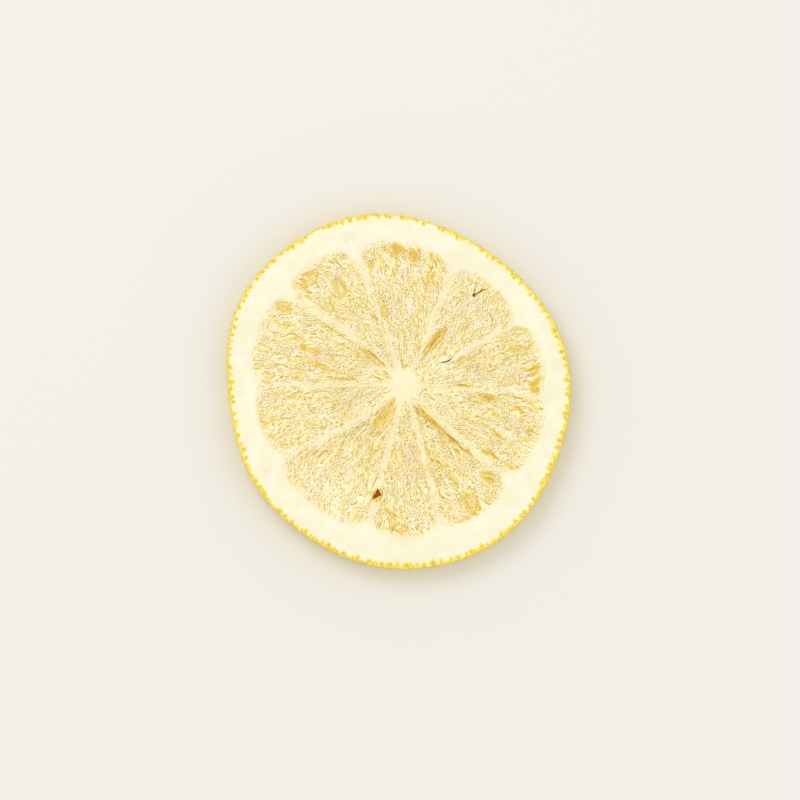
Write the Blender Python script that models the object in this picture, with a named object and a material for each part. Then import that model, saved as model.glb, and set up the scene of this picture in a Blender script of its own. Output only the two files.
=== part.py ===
# A freeze-dried lemon slice, the one crisp, spongy piece that it is: thin rind,
# wide pith ring, ten segment membranes and core, with the dried pulp sunk between
# them on both cut faces. It lies on its lower cut face. Metres, +Z up.
import math
import random

import bmesh
import bpy
from mathutils import Vector, noise

MM = 0.001

# Whole slice
MEAN_RADIUS = 30.0 * MM
THICKNESS = 4.8 * MM
UNDER_TAPER = 0.3 * MM  # the lower face is this much smaller all round

# Outline of the rind and of the pulp: waves on the mean radius, each as
# (waves in a full turn, height, direction of a crest in degrees)
RIND_WAVES = (
    (2, 1.12 * MM, 123.0),
    (3, 0.35 * MM, 11.0),
    (4, 0.17 * MM, 26.0),
    (5, 0.22 * MM, 11.5),
    (6, 0.11 * MM, 29.0),
    (7, 0.11 * MM, 2.0),
)
PULP_RADIUS = 24.9 * MM
PULP_WAVES = (
    (1, 0.39 * MM, 61.0),
    (2, 0.90 * MM, 132.0),
    (3, 0.35 * MM, 10.0),
    (4, 0.11 * MM, 6.0),
    (5, 0.15 * MM, 11.0),
)

# Core, a little off the middle
CORE_X = 1.2 * MM
CORE_Y = 0.9 * MM
CORE_RADIUS = 2.2 * MM
CORE_CROWN = 0.15 * MM

# Membranes: direction in degrees where each leaves the core, and where it meets the pith
MEMBRANES = (
    (-3.0, -4.3),
    (27.5, 29.7),
    (62.0, 68.0),
    (108.0, 110.2),
    (131.0, 141.5),
    (178.5, 179.5),
    (221.0, 210.0),
    (257.0, 256.0),
    (287.0, 284.5),
    (315.0, 318.2),
)
MEMBRANE_HALF_TOP = 0.30 * MM
MEMBRANE_HALF_FOOT = 0.70 * MM
MEMBRANE_DIP = 0.08 * MM  # how far its edge lies under the pith
FULL_WIDTH_FROM = 8.0 * MM  # distance from the core; nearer, membranes get thinner
LEAST_WIDTH_SHARE = 0.45

# Pulp, sunk under the cut faces as it dried
PULP_SINK = 0.50 * MM
PULP_START = 0.9 * MM  # pulp tips begin this far outside the core
CORNER_ROUND = 1.5 * MM  # how far the pulp's outer corners draw in
CORNER_REACH = 2.4 * MM
PITH_STEP = 0.35 * MM  # width of the slope from the pulp up to the pith
RIB_HEIGHT = 0.16 * MM  # juice sacs, lying from the pith towards the core
RIB_LENGTH = 5.0 * MM
RIB_CHANGE = 0.8  # how much one rib differs from the next
RIB_MEAN = 0.6
RIB_FULL_FROM = 11.0 * MM  # distance from the core; nearer, the ribs get lower
LUMP_HEIGHT = 0.22 * MM
LUMP_SIZE = 3.2 * MM

# Hollows of the upper face, each as (distance from the core, direction in degrees,
# length, width, direction in which it is long, depth)
HOLLOWS = (
    (24.6 * MM, 131.3, 3.9 * MM, 2.6 * MM, 45.0, 1.3 * MM),
    (24.6 * MM, 147.0, 3.1 * MM, 2.4 * MM, 140.0, 1.2 * MM),
    (20.4 * MM, 122.8, 4.0 * MM, 2.2 * MM, 112.0, 1.0 * MM),
    (9.0 * MM, 55.0, 7.0 * MM, 1.8 * MM, 52.0, 1.5 * MM),
    (6.6 * MM, 238.0, 6.4 * MM, 2.6 * MM, 238.0, 1.3 * MM),
    (9.6 * MM, 309.5, 11.0 * MM, 1.7 * MM, 317.0, 1.2 * MM),
    (23.2 * MM, 299.0, 4.8 * MM, 3.2 * MM, 312.0, 1.5 * MM),
    (7.6 * MM, 137.5, 7.0 * MM, 1.5 * MM, 137.0, 1.1 * MM),
    (21.2 * MM, 312.5, 3.0 * MM, 2.0 * MM, 330.0, 1.2 * MM),
    (19.4 * MM, 256.6, 2.6 * MM, 2.0 * MM, 250.0, 2.2 * MM),
    (24.4 * MM, 268.5, 3.0 * MM, 1.6 * MM, 345.0, 1.0 * MM),
)
UNDER_HOLLOWS = 12  # as many again on the lower face, at random
UNDER_SEED = 7

# Shape of the rim
EDGE_ROUND = 0.32 * MM
RIND_BULGE = 0.14 * MM
WALL_RINGS = (0.9, 0.5, 0.1)  # shares of the way up the wall
PEBBLE = 0.11 * MM  # oil glands that lift the skin
PEBBLE_SIZE = 0.8 * MM

# Warp from drying: two opposite sides curl up, and the upper face waves a little
CURL = 0.75 * MM
CURL_DIRECTION = 35.0
CURL_FROM = 0.42  # share of the radius that stays flat on the table
FACE_WAVE = 0.06 * MM
FACE_WAVE_SIZE = 8.5 * MM
FACE_WAVE_START = (0.6, -0.4)

# Mesh
REACH_STEPS = 8  # tries at finding where a direction meets an outline
CORE_RINGS = (0.55, 1.0)  # shares of the core's radius
COLUMNS = 120
RIM_COLUMNS = 240
UPPER_ROWS = 17
LOWER_ROWS = 11
ROW_CROWDING = 0.8  # under 1, the rows lie closer together near the pith
PITH_MIDDLE = 0.42
SHARP_ANGLE = 55.0

COLOURS = {
    "rind": (0.86, 0.58, 0.06, 1.0),
    "pith": (0.95, 0.89, 0.68, 1.0),
    "pulp": (0.86, 0.71, 0.38, 1.0),
}
ROUGHNESS = {"rind": 0.55, "pith": 0.85, "pulp": 0.6}
ZONES = ("rind", "pith", "pulp")


def wavy_radius(mean, waves, angle):
    crests = (h * math.cos(n * (angle - math.radians(at))) for n, h, at in waves)
    return mean + sum(crests)


def from_core(distance, angle):
    return (
        CORE_X + distance * math.cos(angle),
        CORE_Y + distance * math.sin(angle),
    )


def reach(angle, mean, waves):
    """How far a wavy outline round the slice's centre lies from the core, that way."""
    distance = mean
    for _ in range(REACH_STEPS):
        x, y = from_core(distance, angle)
        distance += wavy_radius(mean, waves, math.atan2(y, x)) - math.hypot(x, y)
    return distance


def membrane_angle(index, share):
    """Direction of a membrane from the core, share of the way out to the pith."""
    turns, index = divmod(index, len(MEMBRANES))
    start, end = MEMBRANES[index]
    return math.radians(360 * turns + start + (end - start) * share)


def smooth(share):
    share = min(1.0, max(0.0, share))
    return share * share * (3 - 2 * share)


def curl(x, y):
    way = math.radians(CURL_DIRECTION)
    off = abs(x * math.cos(way) + y * math.sin(way)) / MEAN_RADIUS
    return CURL * max(0.0, (off - CURL_FROM) / (1 - CURL_FROM)) ** 2


def face_wave(x, y):
    start_x, start_y = FACE_WAVE_START
    along = math.sin(x / FACE_WAVE_SIZE + start_x)
    return FACE_WAVE * along * math.cos(y / FACE_WAVE_SIZE + start_y)


def hollow_depth(x, y, hollows):
    deepest = 0.0
    for distance, way, length, width, turn, depth in hollows:
        hx, hy = from_core(distance, math.radians(way))
        c, s = math.cos(math.radians(turn)), math.sin(math.radians(turn))
        along = ((x - hx) * c + (y - hy) * s) / (length / 2)
        across = ((y - hy) * c - (x - hx) * s) / (width / 2)
        deepest = max(deepest, depth * (1 - along**2 - across**2))
    return deepest


def under_hollows():
    draw = random.Random(UNDER_SEED)
    found = []
    for index in range(UNDER_HOLLOWS):
        segment = index % len(MEMBRANES)
        left = membrane_angle(segment, 1)
        right = membrane_angle(segment + 1, 1)
        way = math.degrees(left + (right - left) * draw.uniform(0.3, 0.7))
        distance = draw.uniform(0.35, 0.95) * PULP_RADIUS
        length = draw.uniform(2.5, 6.0) * MM
        width = draw.uniform(1.6, 2.6) * MM
        turn = way + draw.uniform(-20, 20)
        depth = draw.uniform(0.6, 1.2) * MM
        found.append((distance, way, length, width, turn, depth))
    return found


def pulp_relief(x, y, column, side):
    """Ribs of juice sacs along the segment, and larger lumps, either side of level."""
    distance = math.hypot(x - CORE_X, y - CORE_Y)
    along = noise.noise(Vector((column * RIB_CHANGE, distance / RIB_LENGTH, side)))
    rib = RIB_HEIGHT * (1 if column % 2 else -1) * (RIB_MEAN + along)
    lump = noise.noise(Vector((x / LUMP_SIZE, y / LUMP_SIZE, side)))
    return (rib + LUMP_HEIGHT * lump) * smooth(distance / RIB_FULL_FROM)


class Column:
    """One line of points from the core to the pith, in one segment."""

    def __init__(self, number, segment, place, count):
        self.number = number
        self.segment = segment
        self.place = place
        self.count = count
        self.on_membrane = place in (0, count - 1)
        self.at_foot = place in (1, count - 2)

    def angle(self, distance):
        span = PULP_RADIUS - CORE_RADIUS
        share = min(1.0, max(0.0, (distance - CORE_RADIUS) / span))
        left = membrane_angle(self.segment, share)
        right = membrane_angle(self.segment + 1, share)
        width = max(LEAST_WIDTH_SHARE, min(1.0, distance / FULL_WIDTH_FROM))
        top = MEMBRANE_HALF_TOP * width / distance
        foot = MEMBRANE_HALF_FOOT * width / distance
        if self.place == 0:
            return left + top
        if self.place == self.count - 1:
            return right - top
        share = (self.place - 1) / (self.count - 3)
        return left + foot + (right - left - 2 * foot) * share

    def pulp_end(self):
        """Distance from the core at which the pulp meets the pith, corners drawn in."""
        angle = self.angle(PULP_RADIUS)
        left = membrane_angle(self.segment, 1)
        right = membrane_angle(self.segment + 1, 1)
        aside = PULP_RADIUS * min(angle - left, right - angle)
        corner = CORNER_ROUND * max(0.0, 1 - aside / CORNER_REACH) ** 2
        return reach(angle, PULP_RADIUS, PULP_WAVES) - corner

    def point(self, distance):
        return from_core(distance, self.angle(distance))


def make_columns():
    """The columns of all segments, as many in each as its width asks for."""
    step = 360 / COLUMNS
    starts = [round(end / step) for _, end in MEMBRANES]
    starts.append(starts[0] + COLUMNS)
    columns = []
    for segment, (first, last) in enumerate(zip(starts, starts[1:])):
        for place in range(last - first):
            columns.append(Column(len(columns), segment, place, last - first))
    return columns, starts[0] * step


def even_angles(count, first_degrees):
    step = 360 / count
    return [math.radians(first_degrees + (i + 0.5) * step) for i in range(count)]


def pith_points(angles, share, inset):
    """A ring through the pith, share of the way from the pulp to the rind's edge."""
    points = []
    for angle in angles:
        inner = reach(angle, PULP_RADIUS, PULP_WAVES)
        outer = reach(angle, MEAN_RADIUS, RIND_WAVES) - inset
        points.append(from_core(inner + (outer - inner) * share, angle))
    return points


class Face:
    """One cut face: where its surface lies, and how its pulp is sunk."""

    def __init__(self, side, rows, hollows, inset):
        self.side = side  # +1 is the upper face, -1 the lower one
        self.rows = rows
        self.hollows = hollows
        self.inset = inset

    def level(self, x, y):
        if self.side > 0:
            return THICKNESS + curl(x, y) + face_wave(x, y)
        return curl(x, y)

    def sunk(self, x, y, depth):
        return (x, y, self.level(x, y) - self.side * depth)

    def column_point(self, column, distance, at_edge):
        x, y = column.point(distance)
        hollow = hollow_depth(x, y, self.hollows)
        if column.on_membrane:
            dip = MEMBRANE_DIP if self.side > 0 else 0.0
            return self.sunk(x, y, max(dip, hollow))
        depth = PULP_SINK + hollow
        if not column.at_foot and not at_edge:
            depth -= pulp_relief(x, y, column.number, self.side)
        return self.sunk(x, y, depth)

    def rings(self, columns, first_degrees):
        """Rings of points from the core out to the rind's edge, each with its zone."""
        made = []
        for share in CORE_RINGS:
            ring = [column.point(CORE_RADIUS * share) for column in columns]
            crown = CORE_CROWN * (1 - share) if self.side > 0 else 0.0
            made.append(([self.sunk(x, y, -crown) for x, y in ring], "pith"))
        for row in range(self.rows):
            share = (row / (self.rows - 1)) ** ROW_CROWDING
            ring = []
            for column in columns:
                start = CORE_RADIUS + PULP_START
                end = column.pulp_end() - PITH_STEP
                distance = start + (end - start) * share
                at_edge = row in (0, self.rows - 1)
                ring.append(self.column_point(column, distance, at_edge))
            made.append((ring, "pulp"))
        edge = [column.point(column.pulp_end()) for column in columns]
        made.append(([self.sunk(x, y, 0) for x, y in edge], "pith"))
        angles = even_angles(COLUMNS, first_degrees)
        middle = pith_points(angles, PITH_MIDDLE, self.inset)
        made.append(([self.sunk(x, y, 0) for x, y in middle], "pith"))
        angles = even_angles(RIM_COLUMNS, first_degrees)
        outer = pith_points(angles, 1.0, self.inset + EDGE_ROUND)
        made.append(([self.sunk(x, y, 0) for x, y in outer], "rind"))
        return made


def pebble(x, y, z):
    at = Vector((x / PEBBLE_SIZE, y / PEBBLE_SIZE, z / PEBBLE_SIZE))
    return PEBBLE * noise.noise(at)


def rim_rings(first_degrees):
    """Rings down the rind's outer wall, between the two cut faces."""
    angles = even_angles(RIM_COLUMNS, first_degrees)
    made = []
    for share in WALL_RINGS:
        ring = []
        for number, angle in enumerate(angles):
            out = reach(angle, MEAN_RADIUS, RIND_WAVES)
            x, y = from_core(out, angle)
            z = curl(x, y) + THICKNESS * share
            bulge = RIND_BULGE * (1 - (2 * share - 1) ** 2)
            lump = pebble(x, y, z) + PEBBLE * (0.5 if number % 2 else -0.5)
            out += bulge - UNDER_TAPER * (1 - share) + lump
            ring.append((*from_core(out, angle), z))
        made.append((ring, "rind"))
    return made


def join_rings(mesh, inner, outer, zone):
    """Faces between two rings of points, of which one may have twice as many."""
    many = max(len(inner), len(outer))
    step_in, step_out = many // len(inner), many // len(outer)
    for i in range(many):
        j = (i + 1) % many
        corners = [inner[i // step_in], outer[i // step_out]]
        corners += [outer[j // step_out], inner[j // step_in]]
        corners = list(dict.fromkeys(corners))
        mesh.faces.new(corners).material_index = ZONES.index(zone)


def close_core(mesh, ring, middle):
    for i, corner in enumerate(ring):
        face = mesh.faces.new((middle, corner, ring[(i + 1) % len(ring)]))
        face.material_index = ZONES.index("pith")


def centre_on_origin(mesh):
    """Puts the middle of the slice's footprint at the origin."""
    for axis in (0, 1):
        places = [vertex.co[axis] for vertex in mesh.verts]
        middle = (min(places) + max(places)) / 2
        for vertex in mesh.verts:
            vertex.co[axis] -= middle


def build_mesh():
    mesh = bmesh.new()
    columns, first_degrees = make_columns()
    upper = Face(1, UPPER_ROWS, HOLLOWS, 0.0)
    lower = Face(-1, LOWER_ROWS, under_hollows(), UNDER_TAPER)
    rings = upper.rings(columns, first_degrees)
    rings += rim_rings(first_degrees)
    rings += reversed(lower.rings(columns, first_degrees))
    loops = [[mesh.verts.new(point) for point in ring] for ring, _ in rings]
    zones = [zone for _, zone in rings]
    for i in range(len(loops) - 1):
        pair = {zones[i], zones[i + 1]}
        zone = "rind" if pair == {"rind"} else "pulp" if "pulp" in pair else "pith"
        join_rings(mesh, loops[i], loops[i + 1], zone)
    top = mesh.verts.new(upper.sunk(CORE_X, CORE_Y, -CORE_CROWN))
    bottom = mesh.verts.new(lower.sunk(CORE_X, CORE_Y, 0))
    close_core(mesh, loops[0], top)
    close_core(mesh, loops[-1], bottom)
    centre_on_origin(mesh)
    bmesh.ops.recalc_face_normals(mesh, faces=mesh.faces)
    bmesh.ops.triangulate(mesh, faces=mesh.faces)
    return mesh


def make_material(zone):
    material = bpy.data.materials.new("lemon_" + zone)
    material.use_nodes = True
    shader = material.node_tree.nodes["Principled BSDF"]
    shader.inputs["Base Color"].default_value = COLOURS[zone]
    shader.inputs["Roughness"].default_value = ROUGHNESS[zone]
    shader.inputs["Metallic"].default_value = 0.0
    return material


def main():
    for old in list(bpy.data.objects):
        bpy.data.objects.remove(old)
    data = bpy.data.meshes.new("lemon_slice")
    for zone in ZONES:
        data.materials.append(make_material(zone))
    mesh = build_mesh()
    mesh.to_mesh(data)
    mesh.free()
    data.shade_smooth()
    data.set_sharp_from_angle(angle=math.radians(SHARP_ANGLE))
    slice_object = bpy.data.objects.new("lemon_slice", data)
    bpy.context.scene.collection.objects.link(slice_object)


main()
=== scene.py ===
import math
import random
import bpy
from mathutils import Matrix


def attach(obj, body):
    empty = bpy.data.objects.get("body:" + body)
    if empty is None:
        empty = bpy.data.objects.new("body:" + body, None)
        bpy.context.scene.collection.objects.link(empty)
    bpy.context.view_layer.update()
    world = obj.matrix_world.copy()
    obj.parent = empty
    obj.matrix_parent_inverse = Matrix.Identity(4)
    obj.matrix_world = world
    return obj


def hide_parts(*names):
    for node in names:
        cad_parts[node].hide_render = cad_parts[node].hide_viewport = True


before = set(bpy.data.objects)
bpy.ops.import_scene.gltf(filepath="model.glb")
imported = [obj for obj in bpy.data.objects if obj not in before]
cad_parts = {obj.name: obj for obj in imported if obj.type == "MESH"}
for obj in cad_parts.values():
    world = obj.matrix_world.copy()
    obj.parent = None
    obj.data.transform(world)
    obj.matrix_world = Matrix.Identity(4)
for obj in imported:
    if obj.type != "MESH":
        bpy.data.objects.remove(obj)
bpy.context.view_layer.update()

from types import SimpleNamespace

import bpy
import numpy as np

# Everything about the slice is written in millimetres, and angles in degrees.
# Directions are seen from above, anticlockwise from the right.
mm = 0.001


# ---- noise, worked out for whole arrays of points at once
def smooth(value, low=0.0, high=1.0):
    share = np.clip((value - low) / (high - low), 0.0, 1.0)
    return share * share * (3 - 2 * share)


def lattice(x, y, z=None, seed=0):  # gradient noise, about -1 to 1
    draw = np.random.RandomState(seed)
    order = np.tile(draw.permutation(256), 2)
    axes = 2 if z is None else 3
    slopes = draw.normal(size=(256, axes))
    slopes /= np.linalg.norm(slopes, axis=1)[:, None]
    place = np.broadcast_arrays(*([np.asarray(x, float), y] + ([] if z is None else [z])))
    whole = [np.floor(axis).astype(int) for axis in place]
    part = [axis - start for axis, start in zip(place, whole)]
    ease = [p * p * p * (p * (p * 6 - 15) + 10) for p in part]
    total = np.zeros(place[0].shape)
    for corner in range(2**axes):
        step = [corner >> i & 1 for i in range(axes)]
        name = np.zeros(total.shape, int)
        for start, s in zip(whole, step):
            name = order[(name + start + s) & 255]
        weight = 1.0
        for e, s in zip(ease, step):
            weight = weight * (e if s else 1 - e)
        total += weight * sum(slopes[name, i] * (part[i] - step[i]) for i in range(axes))
    return total * 1.7  # stretched from about -0.6 to 0.6


def crest(value, thin):  # 1 where a pattern passes 0, falling off the quicker the thinner it is
    return np.clip(1 - thin * np.abs(value), 0, 1)


def dice(count, seed):  # random numbers that a cell looks up by its own number
    return np.random.RandomState(seed).uniform(size=count)


def cells(x, y, seed=0, around=None):  # how far the two nearest cells are, and the nearest's number
    table = dice((4096, 3), seed)
    column, row = np.floor(x).astype(int), np.floor(y).astype(int)
    first = np.full(x.shape, 9.0)
    second = np.full(x.shape, 9.0)
    number = np.zeros(x.shape)
    for i in (-1, 0, 1):
        for j in (-1, 0, 1):
            c, r = column + i, row + j
            name = (c % around if around else c) * 57 + r * 131 & 4095  # the cell's row in the table
            far = np.hypot(c + 0.15 + 0.7 * table[name, 0] - x, r + 0.15 + 0.7 * table[name, 1] - y)
            nearer = far < first
            second = np.where(nearer, first, np.minimum(second, far))
            number = np.where(nearer, table[name, 2], number)
            first = np.where(nearer, far, first)
    return first, second, number


# The noise patterns: size one way, size the other way and seed
patterns = {
    "sway": (4.0, 1.0, 3),          # along a membrane, which strays sideways
    "patchy": (2.6, 1.0, 4),        # along a membrane, which thickens and thins
    "bendFine": (1.1, 1.1, 10),     # where the threads wander
    "bend": (3.0, 3.0, 11),
    "slide": (2.6, 2.6, 12),        # where they end
    "thread": (0.44, 4.2, 13),
    "threadFine": (0.23, 1.5, 14),
    "crumb": (0.36, 0.36, 15),
    "crumbFine": (0.19, 0.19, 16),
    "lump": (3.2, 3.2, 18),
    "bruise": (0.7, 0.7, 19),
    "cord": (1.7, 10.0, 20),        # thicker pale threads
    "cordWhere": (3.0, 6.0, 33),
    "aslant": (1.8, 5.0, 30),       # and those that cross the others
    "aslantWhere": (2.2, 2.2, 31),
    "vein": (1.3, 6.0, 27),         # thin golden lines
    "veinWhere": (2.0, 3.0, 28),
    "fray": (1.5, 1.5, 32),         # the pulp's outer edge
    "frayWide": (4.0, 4.0, 39),
    "sponge": (1.9, 1.9, 21),       # the pith
    "spongeFine": (0.5, 0.5, 22),
    "worn": (1.8, 1.0, 23),         # along a membrane, whose top is worn
    "crease": (3.2, 1.0, 24),
    "beside": (2.5, 1.0, 29),       # along a membrane, with gold beside it
    "gold": (1.0, 5.0, 25),
    "goldFine": (0.8, 0.8, 26),
    "linePatch": (4.0, 1.0, 36),    # along the rim, whose yellow line widens and narrows
    "flame": (0.5, 2.0, 37),
    "flameWide": (1.4, 3.0, 38),
}


def pattern(name, first, second, seedShift=0):
    firstSize, secondSize, seed = patterns[name]
    return lattice(first / firstSize, second / secondSize, seed=seed + seedShift)


# ---- the slice's form, from its named sizes
slab = {
    "meanRadius": 30.0,
    "thickness": 4.8,
    "underTaper": 0.3,      # the lower face is this much smaller all round
    "curl": 0.75,           # two opposite sides lift by this much
    "curlDirection": 35.0,
    "curlFrom": 0.42,       # share of the radius that lies flat
    "waveHeight": 0.06,     # slow waves of the upper face
    "waveLength": 17.0,
    # (waves in a full turn, height, direction of a crest)
    "outline": [
        (2, 1.12, 123.0), (3, 0.35, 11.0), (4, 0.17, 26.0), (5, 0.22, 11.5), (6, 0.11, 29.0),
        (7, 0.11, 2.0),
    ],
    "pulpRadius": 24.9,
    "pulpOutline": [(1, 0.39, 61.0), (2, 0.90, 132.0), (3, 0.35, 10.0), (4, 0.11, 6.0), (5, 0.15, 11.0)],
    "core": (1.2, 0.9),
    "coreRadius": 2.2,
    "coreCrown": 0.15,
}

# Membranes: direction at the core, direction at the pith, half width, how well it stands (0 to 1)
# and how far the pith reaches in along it
membranes = [
    (-3.0, -4.3, 0.20, 0.60, 0.7),
    (27.5, 29.7, 0.28, 0.85, 1.5),
    (62.0, 68.0, 0.38, 0.94, 2.9),
    (108.0, 110.2, 0.40, 0.94, 4.3),
    (131.0, 141.5, 0.56, 1.00, 2.6),
    (178.5, 179.5, 0.24, 0.75, 0.6),
    (221.0, 210.0, 0.36, 0.50, 1.4),
    (257.0, 256.0, 0.36, 0.90, 1.4),
    (287.0, 284.5, 0.30, 0.88, 1.0),
    (315.0, 318.2, 0.38, 0.95, 2.4),
]


def wavyRadius(mean, waves, angle):
    return mean + sum(h * np.cos(n * (angle - math.radians(at))) for n, h, at in waves)


def fromCore(distance, angle):
    return slab["core"][0] + distance * np.cos(angle), slab["core"][1] + distance * np.sin(angle)


def findReach(mean, waves):  # distance from the core to a wavy outline, for every direction
    angle = np.linspace(-math.pi, math.pi, 1441)
    distance = np.full(angle.shape, mean)
    for _ in range(8):
        x, y = fromCore(distance, angle)
        distance = distance + wavyRadius(mean, waves, np.arctan2(y, x)) - np.hypot(x, y)
    return lambda way: np.interp((way + math.pi) % (2 * math.pi) - math.pi, angle, distance)


rindReach = findReach(slab["meanRadius"], slab["outline"])
pulpReach = findReach(slab["pulpRadius"], slab["pulpOutline"])


def middleOfFootprint():  # the slice's frame has its footprint's middle at the origin
    angle = np.linspace(0, 2 * math.pi, 1440)
    x, y = fromCore(rindReach(angle), angle)
    return (x.min() + x.max()) / 2, (y.min() + y.max()) / 2


shiftX, shiftY = middleOfFootprint()


def membraneAngle(index, distance):  # each membrane sways by a row of the noise of its own
    turns, index = divmod(index, len(membranes))
    start, end = membranes[index][:2]
    share = np.clip((distance - slab["coreRadius"]) / (slab["pulpRadius"] - slab["coreRadius"]), 0, 1)
    sway = membraneForm["sway"] * pattern("sway", distance, index * 3.3) * np.sin(math.pi * share)
    return np.radians(360 * turns + start + (end - start) * share) + sway / np.maximum(distance, 1.0)


def anglesOf(index, distance=99.0):  # both sides of a segment, by default where it meets the pith
    return membraneAngle(index, distance), membraneAngle(index + 1, distance)


def lift(x, y):
    way = math.radians(slab["curlDirection"])
    off = np.abs(x * math.cos(way) + y * math.sin(way)) / slab["meanRadius"]
    return slab["curl"] * np.maximum(0, (off - slab["curlFrom"]) / (1 - slab["curlFrom"])) ** 2


def faceLevel(x, y, side):  # height of the pith's surface on the upper (1) or lower (-1) face
    if side < 0:
        return lift(x, y)
    long = slab["waveLength"]
    wave = slab["waveHeight"] * np.sin(2 * x / long + 0.6) * np.cos(2 * y / long - 0.4)
    return slab["thickness"] + lift(x, y) + wave


# ---- hollows and marks of the cut faces
# Hollows of the upper face: distance from the core, direction, length, width,
# direction in which it is long, depth
hollows = [
    (24.6, 131.3, 3.9, 2.6, 45.0, 1.3),
    (24.6, 147.0, 3.1, 2.4, 140.0, 1.2),
    (20.4, 122.8, 4.0, 2.2, 112.0, 1.0),
    (9.0, 55.0, 7.0, 1.8, 52.0, 1.5),
    (6.6, 238.0, 7.2, 3.0, 240.0, 1.3),
    (8.6, 308.5, 9.0, 0.9, 314.0, 1.2),
    (23.2, 299.0, 4.8, 3.2, 312.0, 1.5),
    (7.6, 137.5, 7.0, 1.5, 137.0, 1.1),
    (21.2, 312.5, 3.0, 2.0, 330.0, 1.2),
    (19.4, 256.6, 2.6, 2.0, 250.0, 2.2),
    (24.4, 268.5, 3.0, 1.6, 345.0, 1.0),
]
underHollows = {"count": 12, "length": (2.5, 6.0), "width": (1.6, 2.6), "depth": (0.6, 1.2), "seed": 7}

# Marks: the torn pit by its corners, from the slice's middle, its brown floor and dark rim painted shade
# for its depth, then thin splits with their bend, painted dark as shade in them, and faint bruises, both
# placed as the hollows are
marks = {
    "pit": [(-3.6, -16.85), (-4.4, -18.6), (-3.05, -18.0)],
    "pitDepth": 0.3,
    "splits": [
        (20.9, 50.7, 1.8, 0.16, 33.0, -0.16),
        (19.8, 52.1, 0.6, 0.38, 60.0, 0.0),
        (8.5, 29.5, 1.8, 0.15, 22.0, 0.2),
    ],
    "bruises": [(27.3, 110.0, 3.6, 2.6, 15.0), (27.6, 212.0, 3.0, 1.8, 70.0)],
}

# Stains that lie in the pulp, golden or, under 0, pale: placed as the hollows are, and how strong
stains = [
    (18.2, 321.0, 2.0, 1.6, 30.0, 0.30),
    (16.6, 292.0, 3.0, 1.2, 290.0, 0.26),
    (22.6, 85.0, 3.6, 2.4, 80.0, 0.30),
    (23.6, 94.0, 2.6, 2.2, 95.0, 0.30),
    (18.5, 76.0, 3.8, 1.9, 74.0, 0.30),
    (14.4, 352.0, 3.0, 1.4, 10.0, 0.26),
    (22.7, 3.0, 2.6, 6.0, 0.0, 0.30),
    (21.0, 20.0, 5.5, 3.6, 320.0, 0.22),
    (18.2, 332.0, 3.5, 1.6, 330.0, 0.20),
    (12.3, 104.0, 6.0, 1.1, 100.0, 0.30),
    (8.9, 171.0, 2.0, 1.0, 175.0, 0.26),
    (14.6, 162.0, 9.0, 5.0, 160.0, 0.17),
    (20.0, 105.0, 4.0, 2.4, 105.0, -0.10),
    (20.5, 325.0, 7.0, 9.0, 325.0, 0.08),
    (17.0, 349.0, 12.0, 9.0, 349.0, 0.05),
    (15.5, 84.0, 7.0, 6.5, 84.0, 0.07),
    (18.0, 48.0, 10.0, 14.0, 48.0, 0.04),
    (15.8, 252.0, 7.0, 6.0, 252.0, -0.06),
    (10.5, 300.0, 5.0, 5.0, 300.0, -0.08),
    (11.5, 228.0, 8.0, 5.0, 228.0, -0.05),
    (22.5, 234.0, 9.0, 3.6, 144.0, -0.20),
    (7.0, 10.0, 6.0, 5.0, 10.0, -0.10),
    (19.0, 250.0, 4.5, 2.0, 250.0, -0.12),
    (6.2, 12.0, 9.0, 4.4, 10.0, -0.14),
    (7.6, 342.0, 8.0, 3.0, 338.0, -0.10),
]

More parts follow.
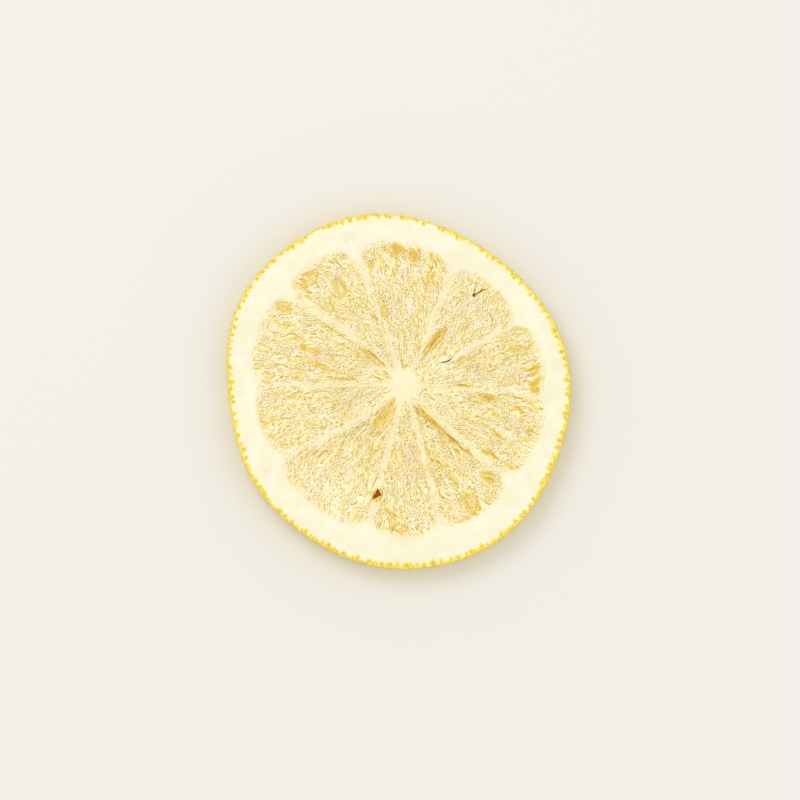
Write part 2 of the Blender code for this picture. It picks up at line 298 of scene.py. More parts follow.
# Thin strokes of darker juice, or pale ones under 0: placed as the hollows are, bend, how golden
# and how brown
strokes = [
    (15.8, 142.0, 7.4, 0.34, 145.0, 0.00, 0.55, 0.10),
    (7.5, 135.0, 4.5, 0.34, 142.0, 0.10, 0.50, 0.35),
    (9.3, 55.0, 6.6, 0.36, 57.0, -0.12, 0.60, 0.36),
    (7.6, 89.0, 3.4, 0.34, 90.0, 0.00, 0.60, 0.15),
    (8.7, 76.0, 5.1, 0.32, 78.0, 0.00, 0.50, 0.10),
    (5.3, 134.0, 1.8, 0.39, 143.0, 0.10, 0.60, 0.30),
    (4.0, 97.0, 2.4, 0.32, 108.0, 0.20, 0.60, 0.25),
    (3.4, 85.0, 1.4, 0.32, 43.0, 0.20, 0.60, 0.30),
    (18.3, 132.0, 3.7, 0.47, 121.0, 0.10, 0.50, 0.15),
    (19.4, 122.0, 2.2, 0.43, 90.0, 0.30, 0.50, 0.15),
    (10.7, 109.0, 3.4, 0.34, 108.0, 0.00, 0.50, 0.05),
    (14.8, 110.0, 5.4, 0.86, 98.0, 0.00, 0.35, 0.00),
    (23.8, 93.0, 2.9, 1.29, 138.0, 0.00, 0.50, 0.00),
    (22.4, 85.0, 2.2, 1.07, 142.0, 0.00, 0.60, 0.05),
    (24.0, 97.0, 2.4, 1.07, 151.0, 0.00, 0.40, 0.00),
    (15.2, 69.0, 2.3, 0.34, 51.0, 0.10, 0.50, 0.15),
    (15.0, 42.0, 2.6, 0.64, 34.0, 0.00, 0.40, 0.00),
    (23.5, 179.0, 2.6, 0.64, 164.0, 0.10, 0.50, 0.10),
    (10.3, 174.0, 6.1, 0.43, 173.0, 0.00, 0.50, 0.12),
    (17.2, 159.0, 3.7, 0.86, 162.0, 0.00, 0.40, 0.00),
    (24.3, 202.0, 1.4, 0.43, 157.0, 0.10, 0.40, 0.10),
    (18.3, 220.0, 3.3, 0.34, 32.0, 0.10, 0.40, 0.22),
    (11.3, 262.0, 1.5, 0.64, 76.0, 0.00, 0.40, 0.00),
    (5.0, 298.0, 2.2, 0.64, 123.0, 0.00, 0.70, 0.28),
    (8.2, 307.0, 6.1, 0.39, 144.0, 0.06, 0.60, 0.18),
    (12.3, 312.0, 3.5, 0.43, 139.0, 0.00, 0.60, 0.36),
    (9.4, 310.0, 7.0, 0.30, 140.0, 0.00, 0.50, 0.12),
    (15.4, 313.0, 3.3, 0.36, 149.0, 0.05, 0.50, 0.22),
    (19.3, 322.0, 1.8, 0.64, 132.0, 0.00, 0.60, 0.12),
    (14.6, 352.0, 2.1, 0.73, 159.0, 0.00, 0.60, 0.05),
    (19.1, 354.0, 5.5, 0.32, 167.0, 0.00, 0.50, 0.15),
    (20.4, 348.0, 2.4, 0.86, 137.0, 0.20, 0.55, 0.08),
    (22.7, 358.0, 2.4, 1.07, 129.0, 0.00, 0.50, 0.05),
    (21.7, 312.0, 2.0, 0.51, 169.0, 0.25, 0.60, 0.20),
    (23.2, 322.0, 2.6, 0.86, 133.0, 0.00, 0.50, 0.05),
    (25.2, 296.0, 3.0, 0.43, 25.0, 0.25, 0.60, 0.15),
    (17.8, 289.0, 1.7, 0.56, 122.0, 0.00, 0.55, 0.08),
    (16.6, 283.0, 2.9, 0.39, 100.0, 0.00, 0.40, 0.15),
    (17.4, 303.0, 2.3, 0.39, 129.0, 0.00, 0.50, 0.15),
    (25.1, 267.0, 2.6, 0.51, 153.0, 0.20, 0.60, 0.25),
    (21.9, 269.0, 2.5, 0.47, 98.0, 0.00, 0.50, 0.08),
    (10.0, 360.0, 4.7, 0.32, 173.0, 0.00, 0.50, 0.15),
    (14.2, 337.0, 3.6, 0.32, 153.0, 0.15, 0.50, 0.12),
    (6.5, 67.0, 1.7, 0.30, 45.0, 0.10, 0.40, 0.10),
    (16.8, 168.0, 4.1, 0.39, 166.0, 0.10, 0.40, 0.05),
    (24.0, 273.0, 3.2, 0.50, 90.0, 0.00, -0.40, 0.00),
    (9.0, 131.0, 9.0, 0.80, 132.0, 0.00, -0.30, 0.00),
    (19.0, 224.0, 2.8, 0.40, 40.0, 0.10, -0.40, 0.00),
    (10.0, 8.0, 7.0, 1.40, 10.0, 0.00, -0.25, 0.00),
]


# An oval, bent or straight: 1 in its middle, 0 on its edge and under 0 outside
def oval(x, y, distance, direction, length, width, turn, bend=0.0):
    cx, cy = fromCore(distance, math.radians(direction))
    c, s = math.cos(math.radians(turn)), math.sin(math.radians(turn))
    along = ((x - cx) * c + (y - cy) * s) / (length / 2)
    across = ((y - cy) * c - (x - cx) * s - bend * (along**2 - 0.5)) / (width / 2)
    return 1 - along**2 - across**2


def insideCorners(x, y, corners):  # how far a point lies inside corners given anticlockwise
    sides = []
    for (ax, ay), (bx, by) in zip(corners, corners[1:] + corners[:1]):
        sides.append(((bx - ax) * (y - ay) - (by - ay) * (x - ax)) / math.hypot(bx - ax, by - ay))
    return np.min(sides, axis=0)


strokeForm = {
    "gold": (-1.2, 0.6),        # where an oval turns golden, and the middle of it brown
    "brown": (0.1, 0.8),
    "goldShows": 0.75,
    "goldLimits": (-0.4, 0.6),
    "brownMost": 0.34,
}


def strokesAt(x, y, wobble):
    gold, brown = np.zeros((2, *x.shape))
    for *place, golden, dark in strokes:
        here = oval(x, y, *place) + wobble
        gold = gold + strokeForm["goldShows"] * golden * smooth(here, *strokeForm["gold"])
        brown = np.maximum(brown, dark * smooth(here, *strokeForm["brown"]))
    return np.clip(gold, *strokeForm["goldLimits"]), np.minimum(brown, strokeForm["brownMost"])


def drawUnderHollows():
    draw = random.Random(underHollows["seed"])
    found = []
    for number in range(underHollows["count"]):
        index = number % len(membranes)
        left = membranes[index][1]
        right = membranes[(index + 1) % len(membranes)][1] + (360 if index == len(membranes) - 1 else 0)
        way = left + (right - left) * draw.uniform(0.3, 0.7)
        distance = draw.uniform(0.35, 0.95) * slab["pulpRadius"]
        length = draw.uniform(*underHollows["length"])
        width = draw.uniform(*underHollows["width"])
        turn = way + draw.uniform(-20, 20)
        found.append((distance, way, length, width, turn, draw.uniform(*underHollows["depth"])))
    return found


sideHollows = {1: hollows, -1: drawUnderHollows()}


# ---- the cut faces
pulp = {
    "sink": 0.45,
    "tipStart": -0.30,          # where the pulp's tips begin, from the core's radius
    "blend": 0.35,              # how round its corners are
    "arch": 0.45,               # its outer edge swells by this much between two membranes
    "ragged": 0.26,
    "fray": (0.45, 0.35),       # how far the outer edge strays, in the patterns fray and frayWide
    "narrowing": 0.75,          # 1 if the threads narrowed towards the core as the segment does
    "bend": (0.30, 0.45),       # how far they wander at the core, and how much more further out
    "bendFine": 0.12,
    "slide": 0.9,
    "threadThin": (2.4, 2.2),   # plain and fine threads
    "cordThin": (3.6, 4.5),     # those along the others and those aslant
    "veinThin": 8.0,
    "sac": (1.25, 3.4),         # width and length of a juice sac
    "sacSeed": 17,
    "sacHeight": 0.08,
    "cordHeight": 0.09,
    "fibreHeight": 0.06,
    "crumbHeight": 0.035,
    "lumpHeight": 0.14,
    "lipHeight": 0.06,          # at a hollow
    "hollowShare": 0.28,        # how much of a hollow's depth lies below the sunk pulp
    "underShift": 60,           # the lower face has patterns of its own
}

# The flesh's tone, 0 for deep gold and 1 for nearly white: what it starts from, and what each thing adds
tones = {
    "plain": 0.58,
    "threads": 0.18,
    "crumb": 0.05,
    "fullSac": -0.15,           # still full of dried juice
    "sacSkin": 0.06,
    "cord": 0.32,
    "lip": 0.24,
    "vein": -0.20,
    "gold": -0.12,
    "beside": -0.22,
    "atPith": 0.30,
    "stroke": -1.0,
    # painted shade along one edge of each hollow
    "hollowEdge": -0.3,
    "nearCore": 0.32,           # the flesh is paler towards the core
    "roundCore": -0.20,         # with golden gaps round it
    "stain": -1.3,
}
veilTone = 0.78                 # of thin flesh that lies over a weak membrane
alongScale = 0.16               # the finishes' patterns are drawn out along the threads by this

membraneForm = {
    "sway": 0.22,
    "atCore": 0.5,              # share of its width that it has at the core
    "fullFrom": 8.0,
    "patchy": 0.4,
    "cornerWidth": 2.6,         # the pith reaches in along it, this far to each side
    "worn": (0.12, 0.30, 0.10),  # the best one, how much more for the weakest, and how patchy
    "creaseDepth": 0.10,
}

# Distances from the core between which something comes in, or fades where the first is the larger
zones = {
    "loose": (4.0, 15.0),       # the threads run less straight
    "frayed": (8.0, 20.0),      # the pulp's outer edge strays
    "relief": (2.5, 8.0),       # the flesh gets its full relief
    "membranes": (2.0, 4.5),    # they leave the core
    "beside": (19.0, 11.0),     # gold beside them
    "combed": (14.0, 5.0),      # the threads show best
    "nearCore": (10.5, 5.5),
    "roundCore": (4.8, 3.2),
}

pith = {
    "bulge": 0.13,
    "softRelief": 0.035,
    "fineRelief": 0.016,
    "bruiseDepth": 0.03,
    "edgeTint": (0.16, 1.8),    # a little of the peel's yellow runs in: how much and how far
}


def zone(at, name):
    return smooth(at.distance, *zones[name])


def over(at, name):  # a pattern laid over the face
    return pattern(name, at.x, at.y, at.shift)


def alongThreads(at, name):  # a pattern that follows the threads
    return pattern(name, at.across, at.along, at.shift)


def alongMembrane(at, name, apart):  # a row of the noise for each membrane, by how well it stands
    return pattern(name, at.distance, at.stands * apart, at.shift)


def softMin(values, blend):
    lowest = np.min(values, axis=0)
    return lowest - blend * np.log(sum(np.exp((lowest - v) / blend) for v in values))


def measure(x, y, side):  # how points lie to the core, the membranes and the edge of the pulp
    distance = np.hypot(x - slab["core"][0], y - slab["core"][1])
    angle = np.arctan2(y - slab["core"][1], x - slab["core"][0])
    lines = [membraneAngle(index, distance) for index in range(len(membranes) + 1)]
    atCore = membraneForm["atCore"]
    thin = np.clip(atCore + (1 - atCore) * distance / membraneForm["fullFrom"], atCore, 1)
    walls = []
    nearest, after = np.full((2, *x.shape), 99.0)
    stands, drawnIn, across, segment = np.zeros((4, *x.shape))
    for index, (_, _, half, strength, pithReach) in enumerate(membranes):
        turn = (angle - lines[index] + math.pi) % (2 * math.pi) - math.pi
        aside = np.abs(turn) * distance
        patchy = 1 + membraneForm["patchy"] * pattern("patchy", distance, index * 5.1 + side * 2.2)
        walls.append(aside - half * thin * patchy)
        closer = aside < nearest
        nearest = np.where(closer, aside, nearest)
        stands = np.where(closer, strength, stands)
        drawnIn = np.where(closer, pithReach, drawnIn)
        past = turn % (2 * math.pi)
        mine = past < after
        after = np.where(mine, past, after)
        across = np.where(mine, past - (lines[index + 1] - lines[index]) / 2, across)
        segment = np.where(mine, index, segment)
    corner = drawnIn * np.maximum(0, 1 - nearest / membraneForm["cornerWidth"]) ** 2
    arch = pulp["arch"] * smooth(nearest, 1.5, 5.0)
    toPith = pulpReach(angle) + arch - distance - corner
    walls.append(toPith)
    walls.append(distance - slab["coreRadius"] - pulp["tipStart"])
    # from an angle to millimetres, narrowing towards the core, and far from the next segment's pattern
    fullAt = 25
    across = across * fullAt * (np.maximum(distance, 1.0) / fullAt) ** pulp["narrowing"] + segment * 31.7
    return SimpleNamespace(
        x=x, y=y, side=side, shift=pulp["underShift"] if side < 0 else 0,
        deep=softMin(walls, pulp["blend"]), toPith=toPith, aside=nearest, stands=stands,
        distance=distance, angle=angle, across=across)


def addThreads(at):
    near, more = pulp["bend"]
    loose = zone(at, "loose")
    at.across = at.across + (near + more * loose) * over(at, "bend")
    at.across = at.across + pulp["bendFine"] * loose * over(at, "bendFine")
    at.along = at.distance + pulp["slide"] * over(at, "slide")
    at.streak = alongThreads(at, "thread")
    at.streakFine = alongThreads(at, "threadFine")
    at.threads = crest(at.streak, pulp["threadThin"][0])
    at.threadsFine = crest(at.streakFine, pulp["threadThin"][1])
    at.crumb = over(at, "crumb")
    at.crumbFine = over(at, "crumbFine")


def addCords(at):  # thicker pale threads, and thin golden lines
    cord = crest(alongThreads(at, "cord"), pulp["cordThin"][0])
    aslant = pattern("aslant", at.across + 0.4 * at.along, at.along, at.shift)
    aslant = crest(aslant, pulp["cordThin"][1]) * smooth(over(at, "aslantWhere"), 0.0, 0.3)
    at.cord = np.maximum(cord, aslant) * smooth(alongThreads(at, "cordWhere"), -0.35, 0.15)
    vein = crest(alongThreads(at, "vein"), pulp["veinThin"])
    at.vein = vein * smooth(alongThreads(at, "veinWhere"), -0.1, 0.3)


def addSacs(at):
    width, length = pulp["sac"]
    first, second, number = cells(at.across / width, at.along / length, seed=pulp["sacSeed"] + at.shift)
    toSkin = second - first
    at.sacSkin = 1 - smooth(toSkin, 0.02, 0.20)
    at.fullSac = smooth(number, 0.40, 0.95) * smooth(toSkin, 0.04, 0.5)
    hollowSac = smooth(number, 0.62, 0.85) * smooth(toSkin, 0.1, 0.5)
    at.sacs = 0.7 * at.sacSkin - 1.1 * hollowSac + 0.25 * (number - 0.5)


def addEdge(at):  # the pulp's ragged edge
    waves, wide = pulp["fray"]
    frayed = (waves * over(at, "fray") + wide * over(at, "frayWide")) * zone(at, "frayed")
    at.edge = at.deep + frayed + pulp["ragged"] * (0.6 * at.streak + 0.6 * at.crumb + 0.5 * at.streakFine)
    fading = smooth(at.toPith, 2.0, 0.4)  # the pulp pales into the pith, and stops short at a membrane
    at.inside = smooth(at.edge, -0.25, 0.45 + 0.6 * fading)


def addHollows(at):
    pocket = np.full(at.x.shape, -9.0)
    at.dip, at.hollowEdge = np.zeros((2, *at.x.shape))
    for *place, depth in sideHollows[at.side]:
        here = oval(at.x, at.y, *place) + 0.15 * at.crumb + 0.2 * at.streak
        pocket = np.maximum(pocket, here)
        at.dip = np.maximum(at.dip, pulp["hollowShare"] * depth * smooth(here, -0.2, 1.0))
        beyond = oval(at.x + 0.30, at.y - 0.24, *place) + 0.2 * at.crumb  # painted shade along each hollow's lower right edge
        paintedShadow = smooth(here, -0.15, 0.1) * smooth(beyond, 0.25, -0.25)
        at.hollowEdge = np.maximum(at.hollowEdge, paintedShadow)
    at.pocket = smooth(pocket, -0.1, 0.5)
    at.lip = smooth(pocket, -0.8, -0.25) * (1 - smooth(pocket, -0.2, 0.05))


def addMarks(at):  # the pit, splits, strokes and bruises, which only the upper face has
    at.torn, at.stroke, at.bruise = np.zeros((3, *at.x.shape))
    if at.side < 0:
        return
    at.stroke, brown = strokesAt(at.x, at.y, 0.4 * at.crumb + 0.3 * at.crumbFine)
    pit = insideCorners(at.x - shiftX, at.y - shiftY, marks["pit"]) + 0.06 * at.crumb
    # the pit and the splits are painted dark as the shade in them
    at.torn = smooth(pit, -0.12, 0.24)
    at.torn = np.maximum(at.torn, np.maximum(brown, 0.12 * at.hollowEdge) * 0.5)
    for split in marks["splits"]:
        line = oval(at.x + 0.06 * at.crumb, at.y, *split) + 0.3 * at.crumbFine
        stained = 0.20 * smooth(line, -3.2, -0.3) + 0.28 * smooth(line, -0.3, 0.2)
        at.torn = np.maximum(at.torn, stained)
    for spot in marks["bruises"]:
        here = oval(at.x, at.y, *spot) + 0.6 * over(at, "bruise")
        at.bruise = np.maximum(at.bruise, smooth(here, 0, 0.7))


def skinLevel(at):  # height of the pith ring, the membranes and the core
    at.toRind = rindReach(at.angle) - at.distance
    body = pith["softRelief"] * over(at, "sponge")
    body = body + pith["fineRelief"] * (over(at, "spongeFine") + at.crumbFine)
    at.onWall = smooth(at.toPith, -0.3, 0.6) * zone(at, "membranes")
    least, weakest, patchy = membraneForm["worn"]
    worn = least + weakest * (1 - at.stands) + patchy * alongMembrane(at, "worn", 40)
    twin = smooth(at.stands, 0.96, 1.0)  # the widest one is two skins with a golden gap
    crease = smooth(at.aside, 0.14 + 0.14 * twin, 0.02 + 0.12 * twin)
    at.crease = at.onWall * crease * smooth(alongMembrane(at, "crease", 50) + 0.6 * twin, -0.2, 0.3)
    fibrous = at.onWall * (0.06 * at.threads + 0.05 * at.threadsFine - 0.04)
    body = body - at.onWall * np.maximum(worn, 0.02) - membraneForm["creaseDepth"] * at.crease + fibrous
    if at.side < 0:
        return faceLevel(at.x, at.y, -1) + 0.06 - np.minimum(body, 0.05)
    swell = pith["bulge"] * smooth(-at.toPith, -0.2, 1.6) * smooth(at.toRind, 0.1, 1.9)
    crown = slab["coreCrown"] * smooth(at.distance, slab["coreRadius"], 0.0)
    return faceLevel(at.x, at.y, 1) + swell + body + crown - pith["bruiseDepth"] * at.bruise


def pulpRelief(at):
    relief = pulp["sacHeight"] * at.sacs + pulp["cordHeight"] * at.cord
    relief = relief + pulp["fibreHeight"] * (0.75 * at.threads + 0.5 * at.threadsFine - 0.5)
    relief = relief + pulp["crumbHeight"] * (at.crumb + 0.7 * at.crumbFine)
    relief = relief + pulp["lumpHeight"] * over(at, "lump")
    relief = relief * (0.4 + 0.6 * zone(at, "relief"))
    return relief * at.inside + pulp["lipHeight"] * at.lip * at.inside


def toneOf(at):
    gold = alongThreads(at, "gold") + 0.3 * over(at, "goldFine")
    beside = smooth(at.deep, -0.1, 0.2) * smooth(at.deep, 0.9, 0.3) * zone(at, "beside")
    alongIt = pattern("beside", at.distance, at.stands * 60 + at.shift)
    combed = 1 + 0.9 * zone(at, "combed")
    threads = tones["threads"] * (at.threads - 0.4) + tones["threads"] * (at.threadsFine - 0.4)
    tone = tones["plain"] + combed * threads + tones["crumb"] * at.crumb
    masks = {
        "fullSac": at.fullSac,
        "sacSkin": at.sacSkin,
        "cord": at.cord,
        "lip": at.lip,
        "vein": at.vein,
        "gold": smooth(gold, -0.1, 0.7),
        "beside": beside * smooth(alongIt, -0.1, 0.35),
        "atPith": smooth(at.toPith + at.edge - at.deep, 1.3, 0),
        "stroke": at.stroke,
        "hollowEdge": at.hollowEdge,
        "nearCore": zone(at, "nearCore"),
        "roundCore": zone(at, "roundCore") * smooth(at.deep, 0.0, 0.25),
    }
    for name, mask in masks.items():
        tone = tone + tones[name] * mask
    if at.side > 0:
        for *place, strong in stains:
            here = oval(at.x, at.y, *place) + 0.35 * at.streak + 0.2 * at.crumb
            tone = tone + tones["stain"] * strong * smooth(here, -0.3, 0.8)
    return tone


def fleshAt(x, y, side):  # height and colour masks of a cut face, at points of the outline's frame
    at = measure(x, y, side)
    for addPart in (addThreads, addCords, addSacs, addEdge, addHollows, addMarks):
        addPart(at)
    top = skinLevel(at)
    sunk = pulp["sink"] * smooth(at.edge, -0.3, 2.4) + at.dip * smooth(at.deep, -0.5, 0.1)
    z = top - side * (sunk + marks["pitDepth"] * at.torn - pulpRelief(at))
    if side < 0:
        z = np.maximum(z, 0.0)

    juicy = np.maximum(smooth(at.stroke, 0.1, 0.45), at.pocket)  # dried juice also lies over a membrane
    veil = at.onWall * (1 - at.inside) * (0.85 - 0.65 * at.stands)
    tone = toneOf(at)
    tone = tone + (veilTone - tone) * smooth(veil, 0, 0.3) * (1 - juicy)
    cover = np.maximum(np.maximum(at.inside, veil), juicy * smooth(at.toPith, -0.3, 0.3))
    flesh = np.stack([cover, np.clip(tone, 0, 1), at.pocket * cover, at.torn], axis=1)
    warm = smooth(at.toPith, -0.3, 0.6)  # the core and membranes are a little warmer than the pith ring
    most, far = pith["edgeTint"]
    yellow = most * smooth(at.toRind, far, 0.2)
    peel = np.stack([yellow, warm, at.bruise * (1 - at.inside), at.crease], axis=1)
    grain = np.stack([at.across, at.along * alongScale, np.full(x.shape, 4.0 * side)], axis=1)
    return z, flesh, peel, grain


# ---- meshes
grid = {
    "coreSeam": 2.2,            # the core piece ends this far from its middle
    "ringSeam": 1.4,            # and the segments this far out in the pith
    "acrossStep": 0.125,
    "rows": 186,
    "core": (300, 90),
    "ring": (26, 20),           # rows of the pith ring's upper and lower face
    "rind": (15, 6, 30, 11),    # rows of its upper face, each rounded edge, the wall and the lower face
    "fewer": 1,                 # threads and flakes are divided by this
}


def clearSelection():
    if bpy.context.mode != "OBJECT":
        bpy.ops.object.mode_set(mode="OBJECT")
    bpy.ops.object.select_all(action="DESELECT")


def pointsOf(mesh):
    points = np.empty(len(mesh.vertices) * 3)
    mesh.vertices.foreach_get("co", points)
    return points.reshape(-1, 3)


def movePoints(piece, points):
    piece.data.vertices.foreach_set("co", points.ravel())
    piece.data.update()


def placePoints(piece, x, y, z):  # from the outline's frame in mm to the object's in metres
    movePoints(piece, np.stack([x - shiftX, y - shiftY, z], axis=1) * mm)


def paint(mesh, flesh, peel, grain):
    for name, values in (("flesh", flesh), ("peel", peel)):
        layer = mesh.color_attributes.new(name=name, type="FLOAT_COLOR", domain="POINT")
        layer.data.foreach_set("color", np.ascontiguousarray(values, np.float32).ravel())
    layer = mesh.attributes.new(name="grain", type="FLOAT_VECTOR", domain="POINT")
    layer.data.foreach_set("vector", np.ascontiguousarray(grain, np.float32).ravel())


def facesAt(x, y, upper):  # fleshAt for points of both cut faces
    z = np.empty(x.shape)
    flesh, peel, grain = (np.empty((len(x), width)) for width in (4, 4, 3))
    for side, chosen in ((1, upper), (-1, ~upper)):
        z[chosen], flesh[chosen], peel[chosen], grain[chosen] = fleshAt(x[chosen], y[chosen], side)
    return z, flesh, peel, grain


def shapeFaces(piece, x, y, upper):  # gives each point its cut face's height and colours
    z, flesh, peel, grain = facesAt(x, y, upper)
    placePoints(piece, x, y, z)
    paint(piece.data, flesh, peel, grain)


def faceCorners(mesh):  # every corner's vertex and face
    vertex = np.empty(len(mesh.loops), int)
    mesh.loops.foreach_get("vertex_index", vertex)
    count = np.empty(len(mesh.polygons), int)
    mesh.polygons.foreach_get("loop_total", count)
    return vertex, np.repeat(np.arange(len(count)), count)


def rangeInFace(values, face):
    low = np.full(face.max() + 1, 1e9)
    high = np.full(face.max() + 1, -1e9)
    np.minimum.at(low, face, values)
    np.maximum.at(high, face, values)
    return low[face], high[face]


def layMap(mesh, u, v):
    layer = mesh.uv_layers.new(name="OFBake")
    layer.data.foreach_set("uv", np.stack([u, v], axis=1).astype(np.float32).ravel())


def sharpenRims(mesh, rim):  # so that the hidden walls don't shade the faces beside them
    ends = np.empty(len(mesh.edges) * 2, int)
    mesh.edges.foreach_get("vertices", ends)
    first, second = rim[ends.reshape(-1, 2)].T
    layer = mesh.attributes.new(name="sharp_edge", type="BOOLEAN", domain="EDGE")
    layer.data.foreach_set("value", (first == second) & (first > 0))


def finishPiece(piece, name, material, rim):  # rim: a number for the points of each rim, or 0
    piece.name = name
    piece.data.name = name
    clearSelection()
    bpy.context.view_layer.objects.active = piece
    piece.select_set(True)
    bpy.ops.object.mode_set(mode="EDIT")
    bpy.ops.mesh.select_all(action="SELECT")
    bpy.ops.mesh.normals_make_consistent(inside=False)
    bpy.ops.object.mode_set(mode="OBJECT")
    bpy.ops.object.shade_smooth()
    sharpenRims(piece.data, rim)
    piece.data.materials.clear()
    piece.data.materials.append(material)
    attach(piece, "root")
    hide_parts("lemon_slice")


# ---- shader maths
class Wire:  # one output of a node, so that masks can be added and multiplied
    def __init__(self, tree, socket=None):
        self.tree = tree
        self.socket = socket

    def make(self, kind, settings, inputs, out=0):
        node = self.tree.nodes.new(kind)
        for name, value in settings.items():
            if name == "stops":
                while len(node.color_ramp.elements) < len(value):
                    node.color_ramp.elements.new(0.5)
                for element, (place, shade) in zip(node.color_ramp.elements, value):
                    element.position = place
                    element.color = shade
            else:
                setattr(node, name, value)
        for name, value in inputs.items():
            if isinstance(value, Wire):
                self.tree.links.new(value.socket, node.inputs[name])
            else:
                node.inputs[name].default_value = value
        return Wire(self.tree, node.outputs[out])

    def otherOutput(self, out):
        return Wire(self.tree, self.socket.node.outputs[out])

    def number(self, operation, *values):
        return self.make("ShaderNodeMath", {"operation": operation}, dict(enumerate(values)))

    def __add__(self, other):
        return self.number("ADD", self, other)

    __radd__ = __add__

    def __mul__(self, other):
        return self.number("MULTIPLY", self, other)

    __rmul__ = __mul__

    def __sub__(self, other):
        return self.number("SUBTRACT", self, other)

    def __rsub__(self, other):
        return self.number("SUBTRACT", other, self)

    def __abs__(self):
        return self.number("ABSOLUTE", self)

    def least(self, other):
        return self.number("MINIMUM", self, other)

    def most(self, other):
        return self.number("MAXIMUM", self, other)

    def ramp(self, low, high):
        settings = {"interpolation_type": "SMOOTHSTEP"}
        return self.make("ShaderNodeMapRange", settings, {0: self, 1: low, 2: high, 3: 0.0, 4: 1.0})

    def crest(self, thin):  # thin lines where the value passes its middle
        return (1 - abs(self - 0.5) * thin).most(0.0)

    def pair(self, apart, thin):  # thin lines, each with one of the other sign beside it
        return (self + apart).crest(thin) - (self - apart).crest(thin)

    def stretch(self, factors):  # a place drawn out or pressed together
        return self.make("ShaderNodeVectorMath", {"operation": "MULTIPLY"}, {0: self, 1: factors})

    def noise(self, scale, detail=3.0, rough=0.55):  # over a place
        inputs = {"Vector": self, "Scale": scale, "Detail": detail, "Roughness": rough}
        return self.make("ShaderNodeTexNoise", {}, inputs)

    def litNoise(self, scale, step):  # a fine grain of painted light and shade, as if lit from one side
        shift = {0: self, 1: (step, -step, step * 0.4)}
        aside = self.make("ShaderNodeVectorMath", {"operation": "ADD"}, shift)
        return self.noise(scale, 0.0) - aside.noise(scale, 0.0)

    def blend(self, share, first, second, way="MIX"):  # of colours
        settings = {"data_type": "RGBA", "blend_type": way}
        return self.make("ShaderNodeMix", settings, {0: share, 6: first, 7: second}, out=2)

    def coat(self, mask, plan, over):  # plan: where the mask starts and is full, and how much shows there
        low, high, shows = plan
        return self.blend(mask.ramp(low, high) * shows, self, over)

    def bump(self, strength, reach):
        inputs = {"Strength": strength, "Distance": reach * mm, "Height": self}
        return self.make("ShaderNodeBump", {}, inputs)

    def feed(self, shader, name):
        self.tree.links.new(self.socket, shader.inputs[name])


def colour(red, green, blue):  # from screen values of 0 to 255
    parts = [((c / 255 + 0.055) / 1.055) ** 2.4 if c > 10 else c / 3294.6 for c in (red, green, blue)]
    return (*parts, 1.0)


def startMaterial(name, specular):
    material = bpy.data.materials.new(name)
    material.use_nodes = True
    shader = material.node_tree.nodes["Principled BSDF"]
    shader.inputs["Specular IOR Level"].default_value = specular
    wire = Wire(material.node_tree)
    place = wire.make("ShaderNodeTexCoord", {}, {}, out="Object")
    grain = wire.make("ShaderNodeAttribute", {"attribute_name": "grain"}, {}, out="Vector")
    return material, shader, wire, place, grain


def channels(wire, name):  # the four masks of a painted layer
    layer = wire.make("ShaderNodeAttribute", {"attribute_name": name}, {})
    split = wire.make("ShaderNodeSeparateColor", {}, {0: layer})
    return split, split.otherOutput(1), split.otherOutput(2), layer.otherOutput("Alpha")


# ---- finishes
tints = {
    "pith": colour(246, 241, 209),
    "pithPale": colour(250, 246, 223),
    "pithShade": colour(242, 231, 186),
    "membrane": colour(250, 239, 200),
    # the gap's own gold, with painted shade in the crease
    "creaseGoldAndShade": colour(236, 206, 122),
    "blush": colour(247, 224, 186),
    "amber": colour(247, 219, 108),
    "amberDeep": colour(230, 191, 58),
    "flavedo": colour(252, 236, 96),
    "flavedoDeep": colour(242, 210, 48),
    "gland": colour(218, 172, 26),
    "oil": colour(176, 150, 44),
    "bruise": colour(243, 227, 200),
    "juice": colour(172, 124, 4),
    # the pit's floor, and the dark rim of the pit and splits: painted shade of their depth
    "torn": colour(184, 92, 14),
    "tornEdge": colour(46, 14, 0),
    # glow: the warm painted shade that slopes are multiplied by
    "glow": colour(255, 247, 200),
    # fleck: painted shade of the lit grain, and the golden lines' darker half
    "fleck": colour(190, 154, 62),
    # glint and gleam: highlights painted into the flesh
    "paintedGlint": colour(255, 254, 216),
    "paintedGleam": colour(255, 255, 250),
}

fleshTones = [  # from deep gold to nearly white
    (0.00, colour(228, 190, 58)),
    (0.20, colour(238, 206, 92)),
    (0.42, colour(246, 223, 134)),
    (0.64, colour(251, 234, 168)),
    (0.85, colour(254, 243, 194)),
    (1.00, colour(255, 250, 212)),
]

